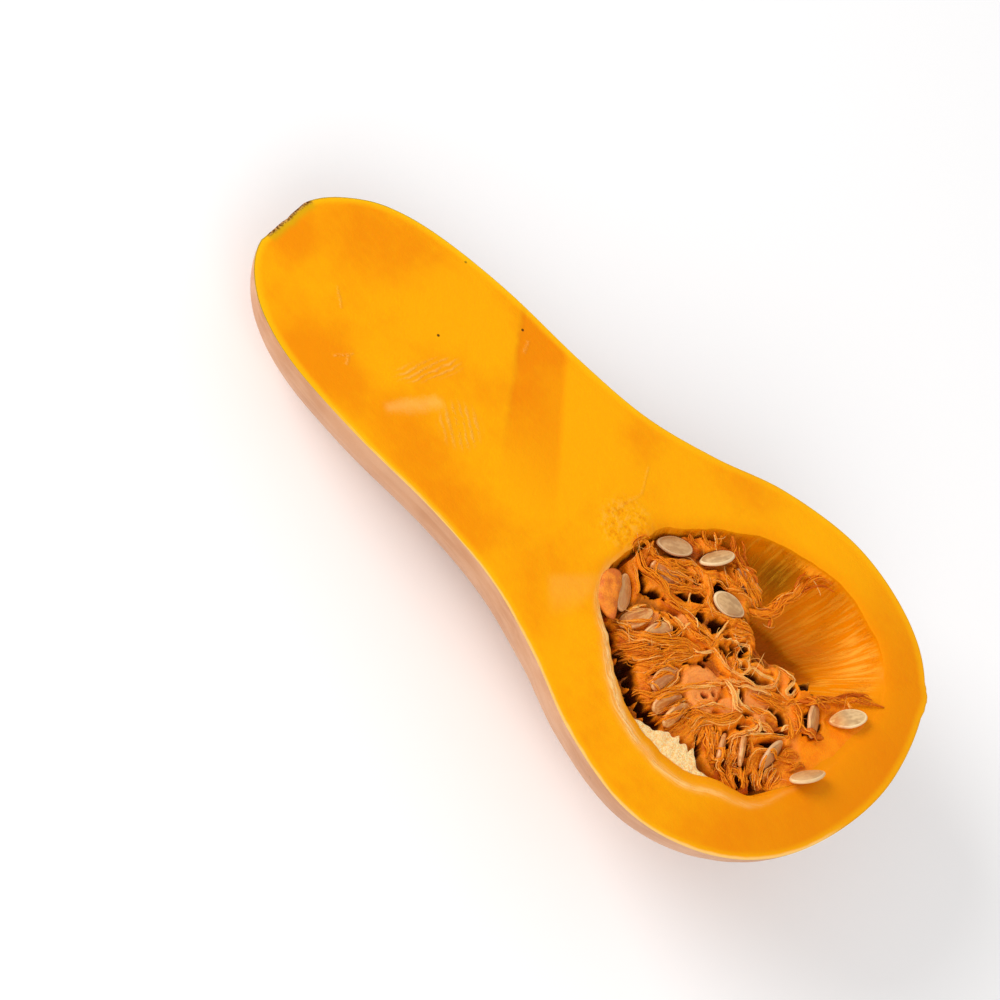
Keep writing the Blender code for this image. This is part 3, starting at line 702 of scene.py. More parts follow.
pulp = dict(
    # share of the cavity filled, every 10 degrees round its middle, and how far the top sinks at that edge
    reach=(
        1.0, 1.0, 0.97, 0.38, 0.28, 0.26, 0.27, 0.29, 0.33, 0.38, 0.50, 0.70,
        0.86, 0.93, 0.95, 0.96, 0.96, 0.95, 0.94, 0.94, 0.93, 0.93, 0.93, 0.93,
        0.93, 0.93, 0.93, 0.93, 0.93, 0.94, 0.95, 0.96, 0.97, 0.99, 1.0, 1.0,
    ),
    edgeSink=(0, 2, 6, 6, 4, 0.5, 0.5, 5, 6, 6, 5, 2), edgeCurve=6,
    sink=3.0, lump=0.8, lumpSize=(6.5, 5.5), foot=0.06, footShare=0.96,
    floorGap=0.15, thinnest=0.5, blendOver=0.5,
    around=470, topRows=128, sideRows=14, bottomRows=8,
    valley=2.4, valleyWidth=0.75, grain=0.5, film=(105, 112), filmDip=0.5,
    # smooth skins over the strands' gaps: middle, reach, height
    skins=(
        (70.8, -8.1, 8, -2.5), (74.5, -13, 5.5, -2.5), (59.4, -17.3, 4.2, -3.0), (88.5, 3, 5.0, -4.0),
        (93.5, -1.7, 3, -3.4), (46, -2.5, 4, -3.4), (82, -7, 3.5, -2.8), (52, 5.5, 2.6, -3.4),
    ),
    # hollows: middle, half sizes across and down the picture's slant, depth
    hollows=(
        (31.8, 6.3, 1.3, 5.2, 9), (38.6, 5.6, 2.4, 1.4, 9), (35.2, 17, 1.0, 0.9, 5),
        (37.8, 19, 0.9, 1.0, 5), (36.3, 13.1, 0.7, 1.0, 6), (41.4, 19.8, 1.3, 1.2, 6),
        (46.4, 20.8, 1.7, 1.6, 7), (46.3, 12.6, 2.4, 1.5, 9), (50.4, 16.5, 2.4, 2.2, 9),
        (42.3, 6.2, 0.7, 1.0, 6), (45.8, 0.8, 1.0, 1.4, 6), (47.8, 3.4, 0.6, 0.6, 4),
        (55.2, 12.5, 1.3, 2.8, 8), (53.9, 26.6, 2.4, 2.4, 9), (62.8, 14.5, 3.0, 2.6, 7),
        (66.4, 13.4, 2.0, 0.8, 6), (73.4, 14.9, 1.9, 1.6, 6), (74.3, 12.5, 0.9, 1.2, 6),
        (64.5, 3.8, 0.5, 0.6, 4), (66.2, 3.6, 0.6, 0.6, 4), (66, 1.9, 0.7, 0.8, 5),
        (67.2, -1.5, 0.7, 0.8, 5), (66.1, -1.3, 0.5, 0.6, 4), (51.7, 0.2, 1.3, 1.4, 6),
        (53.1, 0.9, 1.0, 1.6, 7), (47.6, -3.1, 1.5, 2.0, 6), (53, -9, 1.3, 0.9, 6),
        (38.6, -18, 1.3, 4.0, 8), (34.4, -15.4, 1.2, 1.6, 8), (36.9, -18, 1.2, 1.6, 8),
        (39.3, -20.3, 1.2, 1.6, 8), (41.7, -22.4, 1.2, 1.6, 8), (43.8, -19.6, 1.3, 1.6, 8),
        (47.9, -21.9, 3.0, 2.8, 9), (52.5, -24.7, 1.7, 1.8, 8), (56.1, -28.1, 1.7, 2.4, 9),
        (60.8, -28.7, 1.3, 2.0, 9), (64.5, -29.4, 2.0, 2.0, 9), (68.4, -30.3, 2.0, 1.4, 7),
        (56.6, -17.4, 2.4, 0.5, 6), (61, -6.6, 2.7, 0.5, 5), (58.8, -12.5, 2.0, 0.5, 5),
        (69.1, -18.8, 1.7, 0.8, 6), (67.8, -23.6, 3.0, 0.6, 7), (82.3, -23.9, 0.8, 2.8, 8),
        (84.1, -26.1, 0.8, 2.0, 8), (84.5, -17.1, 1.0, 1.6, 7), (92.2, -22.5, 1.3, 3.6, 8),
        (93.4, -18.6, 0.5, 4.0, 6), (95.5, -11.7, 0.7, 3.2, 7), (97.3, -14.6, 1.3, 1.2, 7),
        (98.7, -18.6, 1.2, 2.0, 8), (101.4, -24, 1.7, 2.4, 9), (99.1, -23.8, 1.3, 1.2, 8),
        (106, -21.5, 1.5, 2.0, 8), (103.5, -19.6, 1.0, 1.0, 7), (107.4, -17.4, 1.5, 1.8, 7),
        (110.2, -18.3, 0.8, 1.6, 6), (109.6, -12.1, 1.7, 0.9, 5), (114.4, -13.6, 1.3, 0.8, 4),
        (99.4, 5.1, 1.5, 2.4, 7), (102, 0.9, 2.4, 1.0, 6), (96.9, -4.1, 0.9, 1.4, 5),
        (90.4, -8.8, 1.0, 1.4, 6), (94.2, 5, 1.2, 0.8, 4), (100.9, -5.3, 2.7, 0.6, 3),
        (89.3, -3.5, 2.0, 0.8, 5), (73.3, -10.7, 0.7, 1.0, 5), (74.7, -10, 0.9, 0.6, 4),
        (75.7, -7.1, 0.8, 1.0, 3), (76.5, -2.5, 0.5, 0.5, 3), (77.4, 0.6, 0.5, 0.5, 3),
        (79.9, 3.6, 0.5, 0.5, 3), (83.2, 0.9, 1.0, 3.6, 4), (82.3, 8.4, 3.0, 2.0, 4),
        (85.7, 8.9, 2.0, 0.8, 4), (77.7, 9.2, 1.3, 1.4, 4), (88.5, 10.9, 1.0, 0.6, 4),
        (95.5, 16.8, 1.3, 2.4, 6), (69.6, 8, 2.0, 3.6, 4), (72.4, 10.3, 1.3, 4.0, 4),
        (95.8, 22.4, 2.7, 3.6, 13), (101.2, 24.2, 3.0, 2.4, 12), (104.7, 26.4, 3.0, 2.2, 10),
        (107.1, 30.1, 2.7, 1.8, 8), (108, 11.3, 3.7, 4.8, 5),
    ),
    slant=math.radians(44.5),
)

strands = dict(
    seed=5, steps=26, fineSteps=15, sides=8, fineSides=4, flatten=0.75, highest=1.2,
    # the bundles' lines as the core sees them: steps in each, and how far apart their grains start
    lineSteps=14, lineApart=97,
    fineFactor=1.25, fineWidth=(0.11, 0.34), hairs=90, hairWidth=(0.07, 0.12), hairSteps=10, hairSides=3,
    # each bundle: places on the face as x, y pairs, depth at both ends, width, paleness, spread, how many
    # finer strands
    bundles=(
        ((66, 29, 69, 30.5, 71.5, 32.5, 74, 36, 73.5, 40.5, 75, 45, 75, 50, 74, 54), 6, 5, 3.4, 0.5, 0.8,
         7),
        ((69, 33, 72, 35.5, 72.5, 40.5, 74.5, 45, 76, 50, 76.5, 55.5), 6, 6, 2.8, 0.5, 0.8, 6),
        ((75, 49, 76.5, 55, 78.5, 59, 83, 60), 5, 3, 1.2, 0.45, 0.5, 4),
        ((74.5, 47, 77.5, 53, 80.5, 57, 85, 58.5), 5.5, 3, 0.9, 0.3, 0.5, 4),
        ((73.5, 49, 72.5, 53, 73, 57), 5, 4, 1.1, 0.2, 0.6, 4),
        ((70.5, 33, 74.5, 32.5, 76, 29.5), 6, 6, 1.4, 0.3, 0.6, 4),
        ((29.5, 13.5, 33.5, 15.5, 37.5, 17.5, 41.5, 20, 46.5, 21.5), 2.2, 3, 1.3, 0.45, 0.7, 5),
        ((31, 11, 35, 12.5, 39, 13.5, 42.5, 15, 46.5, 17.5), 2, 3, 1.2, 0.5, 0.6, 5),
        ((36, 19.5, 38.5, 17.5, 41.5, 16.5, 45, 15.5), 1.8, 3, 0.7, 0.5, 0.5, 4),
        ((31, 14.5, 33, 11.5, 35.5, 10, 39, 9), 1.8, 3, 0.8, 0.4, 0.5, 4),
        ((53.5, 38.5, 58, 36.5, 62, 35.5, 66, 34.5, 69, 34), 4, 5, 1.6, 0.4, 0.8, 6),
        ((54, 35.5, 58, 34, 62, 33.5, 65.5, 32, 68.5, 31.5), 4, 5, 1.2, 0.45, 0.7, 5),
        ((54, -22, 55, -18, 57, -13.5, 61, -11), 2.5, 2.5, 1.4, 0.5, 0.7, 5),
        ((99, 14, 102.5, 16.5, 105.5, 18.8, 109, 21), 1.5, 0.8, 3.0, 0.3, 0.6, 5),
        ((103.5, 6.5, 107, 7, 110.5, 8, 114, 10.5), 2.5, 1.6, 2.6, 0.3, 0.6, 4),
        ((56.5, -23.5, 57.5, -19.5, 59, -15.5, 62, -12.5), 2.3, 2.5, 1.1, 0.55, 0.6, 4),
        ((23, 12.5, 28.5, 8, 32.5, 8.5, 36, 9, 38.5, 9, 41.5, 8.5, 44, 9, 47, 9.5, 52, 13), 2, 4, 2.2, 0.55,
         0.9, 7),
        ((31, 14, 33.5, 14.5, 36.5, 15.5, 40, 17, 44, 18.5, 48, 19.5), 3, 4, 1.2, 0.6, 0.8, 5),
        ((37.5, 10, 41.5, 12, 45, 15, 48.5, 17.5, 51, 21.5), 4, 4, 1.3, 0.5, 0.8, 5),
        ((41, 9, 44, 12, 46.5, 16, 49, 18.5, 52.5, 19), 3, 4, 1, 0.6, 0.7, 4),
        ((25, 7, 29.5, 4, 33, 1, 34, -1), 1.5, 3, 0.9, 0.5, 0.3, 3),
        ((23, 12.5, 22.5, 15, 24, 16.5, 26, 15.5, 27.5, 13), 1, 2, 0.8, 0.5, 0.4, 3),
        ((23.5, 9.5, 21.5, 12, 21.5, 15, 22.5, 17.5, 24.5, 18.5), 0.6, 1, 0.5, 0.35, 0.2, 2),
        ((26, 19.5, 27, 16.5, 30, 16, 33.5, 16.5), 1.5, 3, 1, 0.5, 0.5, 4),
        ((33.5, 16.5, 35.5, 19.5, 38, 21.5, 40.5, 24, 44, 25, 47, 25.5, 49.5, 28.5), 3, 4, 1.2, 0.55, 0.7,
         6),
        ((40.5, 23.5, 44, 22.5, 46.5, 21.5, 49.5, 20.5), 3, 5, 1, 0.5, 0.7, 4),
        ((46.5, 16, 48, 14, 49.5, 12), 3, 3.5, 0.45, 0.85, 0.3, 2),
        ((42.5, 5.5, 45.5, 6.5, 49, 8, 52, 10.5, 53, 15), 3, 4, 1.2, 0.6, 0.8, 5),
        ((47.5, 25, 51, 22, 54, 19.5, 56, 17.5, 58, 17, 60, 18, 63.5, 19.5, 66.5, 23.5), 3, 4, 1.1, 0.5,
         0.4, 5),
        ((50, 25, 52.5, 27.5, 55, 27.5, 58, 28.5, 60.5, 30.5, 63, 31, 64.5, 31, 66.5, 31, 69, 32.5, 72, 35,
         74, 38), 3, 8, 1.1, 0.45, 0.5, 5),
        ((53, 14.5, 54, 17, 56, 17.5), 3.5, 3.5, 0.9, 0.5, 0.4, 3),
        ((53.5, 13, 55.5, 14.5, 57.5, 16.5), 4, 4, 1.1, 0.45, 0.5, 3),
        ((36, 36.5, 38, 35.5, 40.5, 35, 42.5, 35), 1, 6, 1.3, 0.4, 0.5, 3),
        ((39.5, 39.5, 42, 38.5, 43.5, 37.5, 45, 37), 1, 6, 1.3, 0.55, 0.4, 3),
        ((42, 40.5, 43, 40, 45, 39), 1, 6, 0.9, 0.5, 0.4, 3),
        ((44.5, 43.5, 47.5, 42.5, 50, 40.5, 52.5, 40, 56, 39.5, 59, 39, 61.5, 39, 64.5, 39), 1, 8, 2.2,
         0.35, 0.9, 8),
        ((48.5, 46, 51.5, 44.5, 54, 42.5, 57, 41.5), 2, 7, 1.4, 0.3, 0.8, 5),
        ((33.5, 31.5, 36, 31.5, 39, 32), 1, 5, 1, 0.35, 0.4, 3),
        ((56, 39, 59, 38, 62, 37, 66, 37, 69, 38.5), 6, 9, 1, 0.7, 0.7, 5),
        ((53.5, 36, 56, 35, 58.5, 32.5, 59, 30), 5, 5, 1.2, 0.45, 0.8, 5),
        ((51.5, 31, 54, 30.5, 57, 31, 60, 32.5), 4, 5, 1.1, 0.4, 0.7, 5),
        ((34.5, -13.5, 36.5, -13, 40, -12.5, 43, -11.5, 46, -10, 49.5, -7, 52, -3.5, 53.5, -0.5, 53.5, 2,
         54, 5), 6, 3, 1.6, 0.55, 0.8, 7),
        ((37, -16, 39.5, -14.5, 43.5, -13.5, 46.5, -11, 50, -8, 53.5, -5, 57, -1, 60.5, 0.5, 63, 0.5), 7, 3,
         1.8, 0.5, 0.9, 8),
        ((40.5, -19.5, 42.5, -18, 44.5, -15.5, 47.5, -13, 49.5, -11.5, 51, -9.5), 8, 4, 1.5, 0.45, 0.8, 6),
        ((42.5, -21, 44, -19, 46.5, -16, 49, -14.5, 51.5, -12.5, 53, -9.5, 54.5, -6.5, 58, -2.5, 62.5,
         -0.5), 8, 3, 1.7, 0.55, 0.8, 8),
        ((45, -22, 46.5, -19.5, 49.5, -18.5, 51, -15.5, 53, -11.5, 54.5, -9, 57.5, -5, 62, -1), 8, 3, 1.5,
         0.5, 0.8, 7),
        ((49.5, -20.5, 52, -18, 54, -16, 56, -13, 57.5, -8.5, 60, -4.5, 63, -0.5), 7, 3, 1.6, 0.55, 0.8, 7),
        ((52.5, -22, 54.5, -19.5, 56, -16, 57, -14.5, 57.5, -11, 60, -7.5, 61.5, -3, 63.5, 0), 6, 2.5, 1.3,
         0.6, 0.6, 6),
        ((47, -11, 50.5, -9.5, 53.5, -6, 56.5, -3, 60.5, -1), 4, 3, 1.3, 0.4, 0.8, 5),
        ((54.5, -22.5, 57.5, -22, 60, -21.5, 62, -20.5, 63, -16, 63.5, -13, 62, -10.5, 63, -7), 4, 3, 0.9,
         0.65, 0.4, 4),
        ((54.5, -26.5, 58, -25, 61.5, -22, 63.5, -18.5, 65, -15.5, 67.5, -12.5, 72, -7.5, 74.5, -4, 76.5,
         -1), 6, 2, 1.3, 0.75, 0.7, 7),
        ((56, -28.5, 57, -26, 60.5, -24.5, 62.5, -22, 64.5, -18.5, 67.5, -15, 70, -11.5), 7, 3, 1.4, 0.6,
         0.7, 6),
        ((59.5, -28.5, 62, -26.5, 63, -24, 65, -20.5, 67.5, -17), 6, 3, 1.1, 0.5, 0.6, 5),
        ((68, -18.5, 69, -20, 68.5, -23.5, 66.5, -26), 3, 5, 0.7, 0.7, 0.3, 3),
        ((64, -30.5, 66, -28, 67, -25, 68.5, -20.5, 69.5, -17, 71, -14.5), 5, 3, 1, 0.55, 0.6, 5),
        ((68, -31, 69, -28.5, 70.5, -25, 72, -21, 73, -17), 6, 3, 1.3, 0.5, 0.6, 5),
        ((71.5, -30, 73, -27.5, 74, -24, 74, -20.5, 75.5, -17.5), 6, 3, 1.1, 0.5, 0.6, 5),
        ((75, -29.5, 76.5, -27, 77, -24, 77, -21.5, 77, -19, 78, -17, 81.5, -15, 84.5, -11.5, 86, -9), 6, 3,
         1.1, 0.6, 0.5, 5),
        ((79.5, -27, 79.5, -24.5, 79, -21, 79.5, -18.5, 80.5, -16, 83.5, -14.5, 86, -11.5, 87, -9.5, 87, -8,
         87, -6, 88, -5), 6, 3, 1.2, 0.6, 0.4, 6),
        ((74.5, -23, 74.5, -19.5, 76, -17, 78.5, -15.5, 82, -13, 84, -10, 86, -7, 87, -4.5), 4, 3, 1.4, 0.4,
         0.6, 6),
        ((73, -18.5, 74.5, -14.5, 77, -11, 80.5, -9, 84, -7), 3, 2.5, 1, 0.75, 0.8, 5),
        ((81, -18.5, 83.5, -21, 86, -23, 89.5, -25, 92, -26), 4, 7, 2.8, 0.5, 0.8, 7),
        ((82.5, -17, 85, -19, 87.5, -22, 90, -25), 3.5, 6, 2.2, 0.6, 0.5, 5),
        ((85, -16.5, 87, -20, 89, -22, 92, -25.5), 3, 6, 1.7, 0.7, 0.4, 4),
        ((90, -14.5, 91.5, -17, 93.5, -19.5, 95, -22.5, 95, -24), 3.5, 6, 1.6, 0.5, 0.4, 5),
        ((91, -12.5, 92.5, -16.5, 94.5, -18.5, 95, -21.5, 95.5, -23.5), 3, 6, 2.0, 0.65, 0.5, 6),
        ((94, -9.5, 96.5, -11.5, 98, -13.5, 99, -16), 4, 7, 0.8, 0.45, 0.4, 4),
        ((113, -4, 111, -5.5, 109, -6.5, 105.5, -8, 102.5, -9, 99.5, -11, 99, -13.5, 99.5, -16, 101, -18.5,
         102, -21.5), 1, 9, 1.2, 0.5, 0.5, 6),
        ((99, -15, 101, -18, 101.5, -20, 103.5, -22, 105, -23.5), 3, 8, 1.3, 0.45, 0.5, 5),
        ((100.5, -13, 101.5, -16, 104, -18, 106, -19.5, 108, -21), 3, 7, 1.5, 0.45, 0.5, 5),
        ((102, -11.5, 103, -14.5, 105, -16.5, 106.5, -19, 109, -20), 3, 6, 1.3, 0.5, 0.5, 5),
        ((107.5, -9, 106.5, -12.5, 106, -14, 107.5, -16.5, 109.5, -18), 3, 6, 1.2, 0.5, 0.5, 5),
        ((108, -11.5, 108.5, -14, 109.5, -17, 110.5, -19.5), 3, 4, 1.1, 0.6, 0.4, 4),
        ((110, -10.5, 110.5, -13.5, 110.5, -17, 111, -19.5), 3, 3, 1, 0.6, 0.4, 4),
        ((87.5, -23.8, 92.3, -26, 96.5, -27.6), 4, 4, 1.8, 0.55, 0.5, 5),
        ((94.5, -22.5, 97.9, -25.1, 102.3, -27.7), 4, 4, 2.2, 0.5, 0.5, 5),
        ((98.2, -19.5, 101.3, -22.5, 104.3, -25.5), 4, 4, 2.0, 0.5, 0.5, 5),
        ((93.9, -25.8, 98.1, -27.6, 101.7, -28.3), 5, 5, 1.6, 0.55, 0.5, 4),
        ((95, -24, 97.5, -22.5, 100.5, -21.5, 103, -21.5), 7, 8, 1.2, 0.45, 0.6, 4),
        ((93, -27, 93.5, -24, 95.5, -23), 8, 8, 0.8, 0.7, 0.4, 3),
        ((83, -25.5, 81.5, -22, 80.5, -19.5), 5, 4, 1.1, 0.5, 0.5, 4),
        ((92, -11.5, 93, -10, 95, -8.5, 98.5, -4.5, 103, -0.5, 105, 0), 3, 3, 0.8, 0.7, 0.4, 4),
        ((90, -18, 90, -15, 90.5, -13.5, 92.5, -10.5, 93.5, -8), 3, 2.5, 1, 0.7, 0.5, 5),
        ((107, -6.5, 107.5, -4, 109.5, -2, 111.5, -2), 2, 2, 1, 0.45, 0.6, 4),
        ((110.5, -10, 112, -7.5, 113, -4.5, 115, -3.5), 1.5, 1, 1.2, 0.35, 0.5, 5),
        ((65, 5.5, 67.5, 5, 70, 4.5, 73, 3.5, 76, 4, 78.5, 4.5, 80.5, 5, 83.5, 6, 86, 7, 89, 10, 90, 12,
         89.5, 14.5, 88.5, 17, 86, 18), 2.2, 3.5, 0.9, 0.9, 0.3, 4),
        ((78.5, 4.5, 79, 7, 79.5, 10.5, 81.5, 11.5, 84.5, 12.5, 87.5, 14, 90, 13.5), 2.5, 3.5, 0.7, 0.9,
         0.2, 3),
        ((77.5, 5, 76, 8, 75.5, 9.5, 73.5, 10, 72.5, 13.5, 71, 14.5), 2.5, 4, 0.6, 0.85, 0.2, 3),
        ((76.5, 10.5, 77.5, 12, 76, 15, 74.5, 16.5, 73, 16, 71, 14.5, 69.5, 13.5), 3, 4, 0.7, 0.75, 0.2, 3),
        ((76, 8, 76, 10.5, 77.5, 11.5, 79, 10.5, 79, 8, 77.5, 6.5), 3, 3, 0.5, 0.85, 0.15, 2),
        ((75.5, -1, 78.5, -1.5, 81, -2.5, 83, -4, 84.5, -5.5, 87.5, -5), 2, 3, 1.8, 1, 0.5, 6),
        ((80.5, 1, 81.5, -1, 83, -2.5, 85, -2.5, 87.5, -2, 90.5, -0.5), 2.5, 3.5, 0.8, 0.85, 0.2, 3),
        ((78.5, 0, 80.5, 1, 82, 3.5, 84, 5, 87, 7, 90.5, 8.5, 94, 11), 2, 3.5, 0.7, 0.9, 0.2, 3),
        ((75, -1, 78, 1, 80.5, 3), 2, 2, 0.9, 0.9, 0.3, 3),
        ((68, -12.5, 72, -8, 74.5, -4, 76.5, -1), 2.5, 2, 1.2, 0.85, 0.5, 4),
        ((60, 0, 63, 0.5, 65.5, 3.5, 67.5, 5), 2.5, 2.5, 0.7, 0.85, 0.2, 3),
        ((55.5, 8.5, 58, 8.5, 61.5, 8, 64.5, 8, 65, 5.5), 3, 2.5, 1.1, 0.7, 0.5, 5),
        ((63.5, 20, 63.5, 17.5, 64, 14, 64, 11, 64.5, 8), 3, 2.5, 1, 0.75, 0.3, 4),
        ((65.5, 7, 66, 10.5, 68, 12.5, 69.5, 13.5, 71, 13.5, 72.5, 13.5), 3, 4, 0.6, 0.85, 0.2, 3),
        ((58.5, 17, 62, 18.5, 65, 20, 68.5, 22.5, 70.5, 23, 72.5, 23.5), 4, 5, 0.8, 0.75, 0.3, 4),
        ((64, 17.5, 65.5, 20.5, 68.5, 21, 71.5, 21.5, 73.5, 21), 4, 5, 2.4, 0.5, 0.6, 6),
        ((65, 13, 66.5, 16, 69, 18, 72, 19.5, 74.5, 19.5), 4, 5, 1.8, 0.5, 0.5, 6),
        ((68.5, 14, 70.5, 15.5, 72, 18, 74, 19.5), 4.5, 5, 1.2, 0.6, 0.4, 4),
        ((68, 8, 71, 5.5, 74, 4.5, 76, 4), 4, 3, 1.5, 0.35, 0.6, 5),
        ((72, 11.5, 74, 8, 75, 5), 4, 3, 1.5, 0.4, 0.6, 5),
        ((86, 18.5, 88.5, 19, 91, 19, 93.5, 20, 94, 17.5, 94, 14, 95.5, 13, 97, 15, 96.5, 17.5, 95.5, 20.5),
         3.5, 4, 0.8, 0.85, 0.3, 4),
        ((84.5, 6.5, 87.5, 7, 91, 9, 94.5, 10.5, 98, 12.5), 4, 4, 1.4, 0.5, 0.7, 6),
        ((85, 3, 88, 4, 92, 6, 96, 8, 99.5, 9.5), 4, 3.5, 1.6, 0.45, 0.8, 7),
        ((87.5, -1, 91, 1, 94.5, 2.5, 98, 3.5), 3.5, 4, 1.2, 0.6, 0.7, 5),
        ((89, -4.5, 91.5, -3.5, 94.5, -2.5, 97.5, -1.5, 101, -1.5), 3.5, 4, 1, 0.7, 0.7, 5),
        ((94, -3.5, 96.5, -3.5, 98, -3.5), 2.5, 3, 0.5, 1, 0.2, 2),
        ((94, -3.5, 93.5, -7, 92.5, -10.5), 2.5, 3, 0.8, 0.95, 0.4, 3),
        ((92.5, -2, 94.5, -3, 95.5, -5.5, 96, -8), 3, 3, 0.8, 0.9, 0.4, 3),
        ((101.5, 0.5, 101.5, 3, 102.5, 5), 2, 2, 0.35, 1, 0.1, 1),
        ((97.5, 11.5, 100.5, 11.5, 103.5, 10, 105.5, 6.5, 106.5, 2.5), 3, 2.5, 1.8, 0.4, 0.8, 7),
        ((99.5, 6.5, 102, 5.5, 104.5, 2.5, 105.5, -0.5), 3, 3, 1.4, 0.45, 0.6, 5),
        ((96.5, 9, 98, 12.5, 101, 16, 103, 19), 3.5, 3, 1.3, 0.45, 0.6, 5),
        ((106.5, 23.5, 109, 27, 111, 30, 113.5, 32.5, 116, 34, 119, 35), 3, 0.2, 1.2, 0.1, 0.7, 6),
        ((112.5, 26.5, 113.5, 29.5, 115.5, 31, 119.5, 34, 123.5, 36), 1.5, 0, 0.8, 0.4, 0.3, 4),
        ((103, 18.5, 105.5, 22.5, 109, 25, 112, 27), 3, 1.5, 1.3, 0.35, 0.6, 5),
        ((112, 27, 114, 27, 116, 26.5), 1.5, 1.5, 0.7, 0.6, 0.4, 3),
        ((79.5, 12, 80.5, 13.5, 82, 14, 83.5, 14, 85.5, 15.5), 3, 3, 0.25, 1, 0, 0),
        ((36, -9, 36.5, -6.5, 37.5, -4, 39, -1), 1.5, 2, 0.7, 0.9, 0.3, 3),
        ((36, -12.5, 38.5, -10.5, 40.5, -9, 42.5, -6.5, 43, -3.5), 3.5, 3.5, 0.9, 0.65, 0.5, 4),
        ((33.5, -12.5, 36, -12.5, 38.5, -12, 41.5, -11.5), 4, 5, 1, 0.7, 0.5, 4),
        ((44, 0.5, 46.5, 0, 48.5, -0.5, 51, -1), 2.5, 3, 0.8, 0.7, 0.4, 4),
        ((46, 2.5, 49, 2.5, 52, 3, 54, 2.5), 2, 2.5, 0.9, 0.8, 0.3, 3),
        ((53.5, 1.5, 54, 4.5, 54, 7.5), 2.5, 2.5, 0.6, 0.8, 0.2, 2),
        ((44, 0.5, 45.5, -2, 46, -4.5, 46, -7), 2.5, 4, 0.9, 0.6, 0.3, 3),
        ((50.5, 8, 54, 7.5, 57.5, 7.5, 61.5, 7.5), 3, 2.5, 1.6, 0.55, 0.8, 7),
        ((55.5, 4.5, 59, 4.5, 62, 5.5, 65, 5.5), 3, 2.5, 1.5, 0.55, 0.8, 6),
    ),
)


# A bundle's middle line: a smooth curve through its places, at equal steps
def bundlePath(bundle, steps):
    flat = np.array(bundle[0], float).reshape(-1, 2)
    depth = np.linspace(bundle[1], bundle[2], len(flat))
    places = np.column_stack((flat, -depth))
    padded = np.vstack((2 * places[0] - places[1], places, 2 * places[-1] - places[-2]))
    t = np.linspace(0, len(places) - 1, steps)
    index = np.minimum(t.astype(int), len(places) - 2)
    return cubic(*(padded[index + i] for i in range(4)), (t - index)[:, None])


# For each place: distance to the nearest bundle in its half widths, and the place in that bundle's own
# directions, along it and across it
def nearBundles(x, y):
    starts, ends, widths, travelled = [], [], [], []
    for bundle in strands["bundles"]:
        path = bundlePath(bundle, strands["lineSteps"])[:, :2]
        stretch = np.linalg.norm(np.diff(path, axis=0), axis=1)
        starts.append(path[:-1])
        ends.append(path[1:])
        widths.append(np.full(len(stretch), 0.4 + 0.5 * bundle[3]))
        travelled.append(np.append(0, np.cumsum(stretch))[:-1] + strands["lineApart"] * len(starts))
    starts, ends = np.concatenate(starts), np.concatenate(ends)
    widths, travelled = np.concatenate(widths), np.concatenate(travelled)
    way = ends - starts
    length = np.linalg.norm(way, axis=1)
    way = way / np.maximum(length, 1e-6)[:, None]
    places = np.column_stack((np.ravel(x), np.ravel(y)))
    near, along, across = (np.empty(len(places)) for _ in range(3))
    for block in np.array_split(np.arange(len(places)), max(1, len(places) // 3000)):
        apart = places[block, None] - starts
        forward = np.clip((apart * way).sum(-1), 0, length)
        aside = apart[..., 0] * way[:, 1] - apart[..., 1] * way[:, 0]
        distance = np.linalg.norm(apart - forward[..., None] * way, axis=-1) / widths
        best = distance.argmin(axis=1)
        rows = np.arange(len(block))
        near[block] = distance[rows, best]
        along[block] = travelled[best] + forward[rows, best]
        across[block] = aside[rows, best]
    return (field.reshape(np.shape(x)) for field in (near, along, across))


# Smooth greater of two heights: their mean plus the root of (half their difference)^2 + softness^2
def softMax(a, b, softness):
    return (a + b) / 2 + np.sqrt(((a - b) / 2) ** 2 + softness**2)


# A place's distance right and down along the picture's slant
def slanted(x, y):
    level, steep = math.cos(pulp["slant"]), math.sin(pulp["slant"])
    return x * level + y * steep, x * steep - y * level


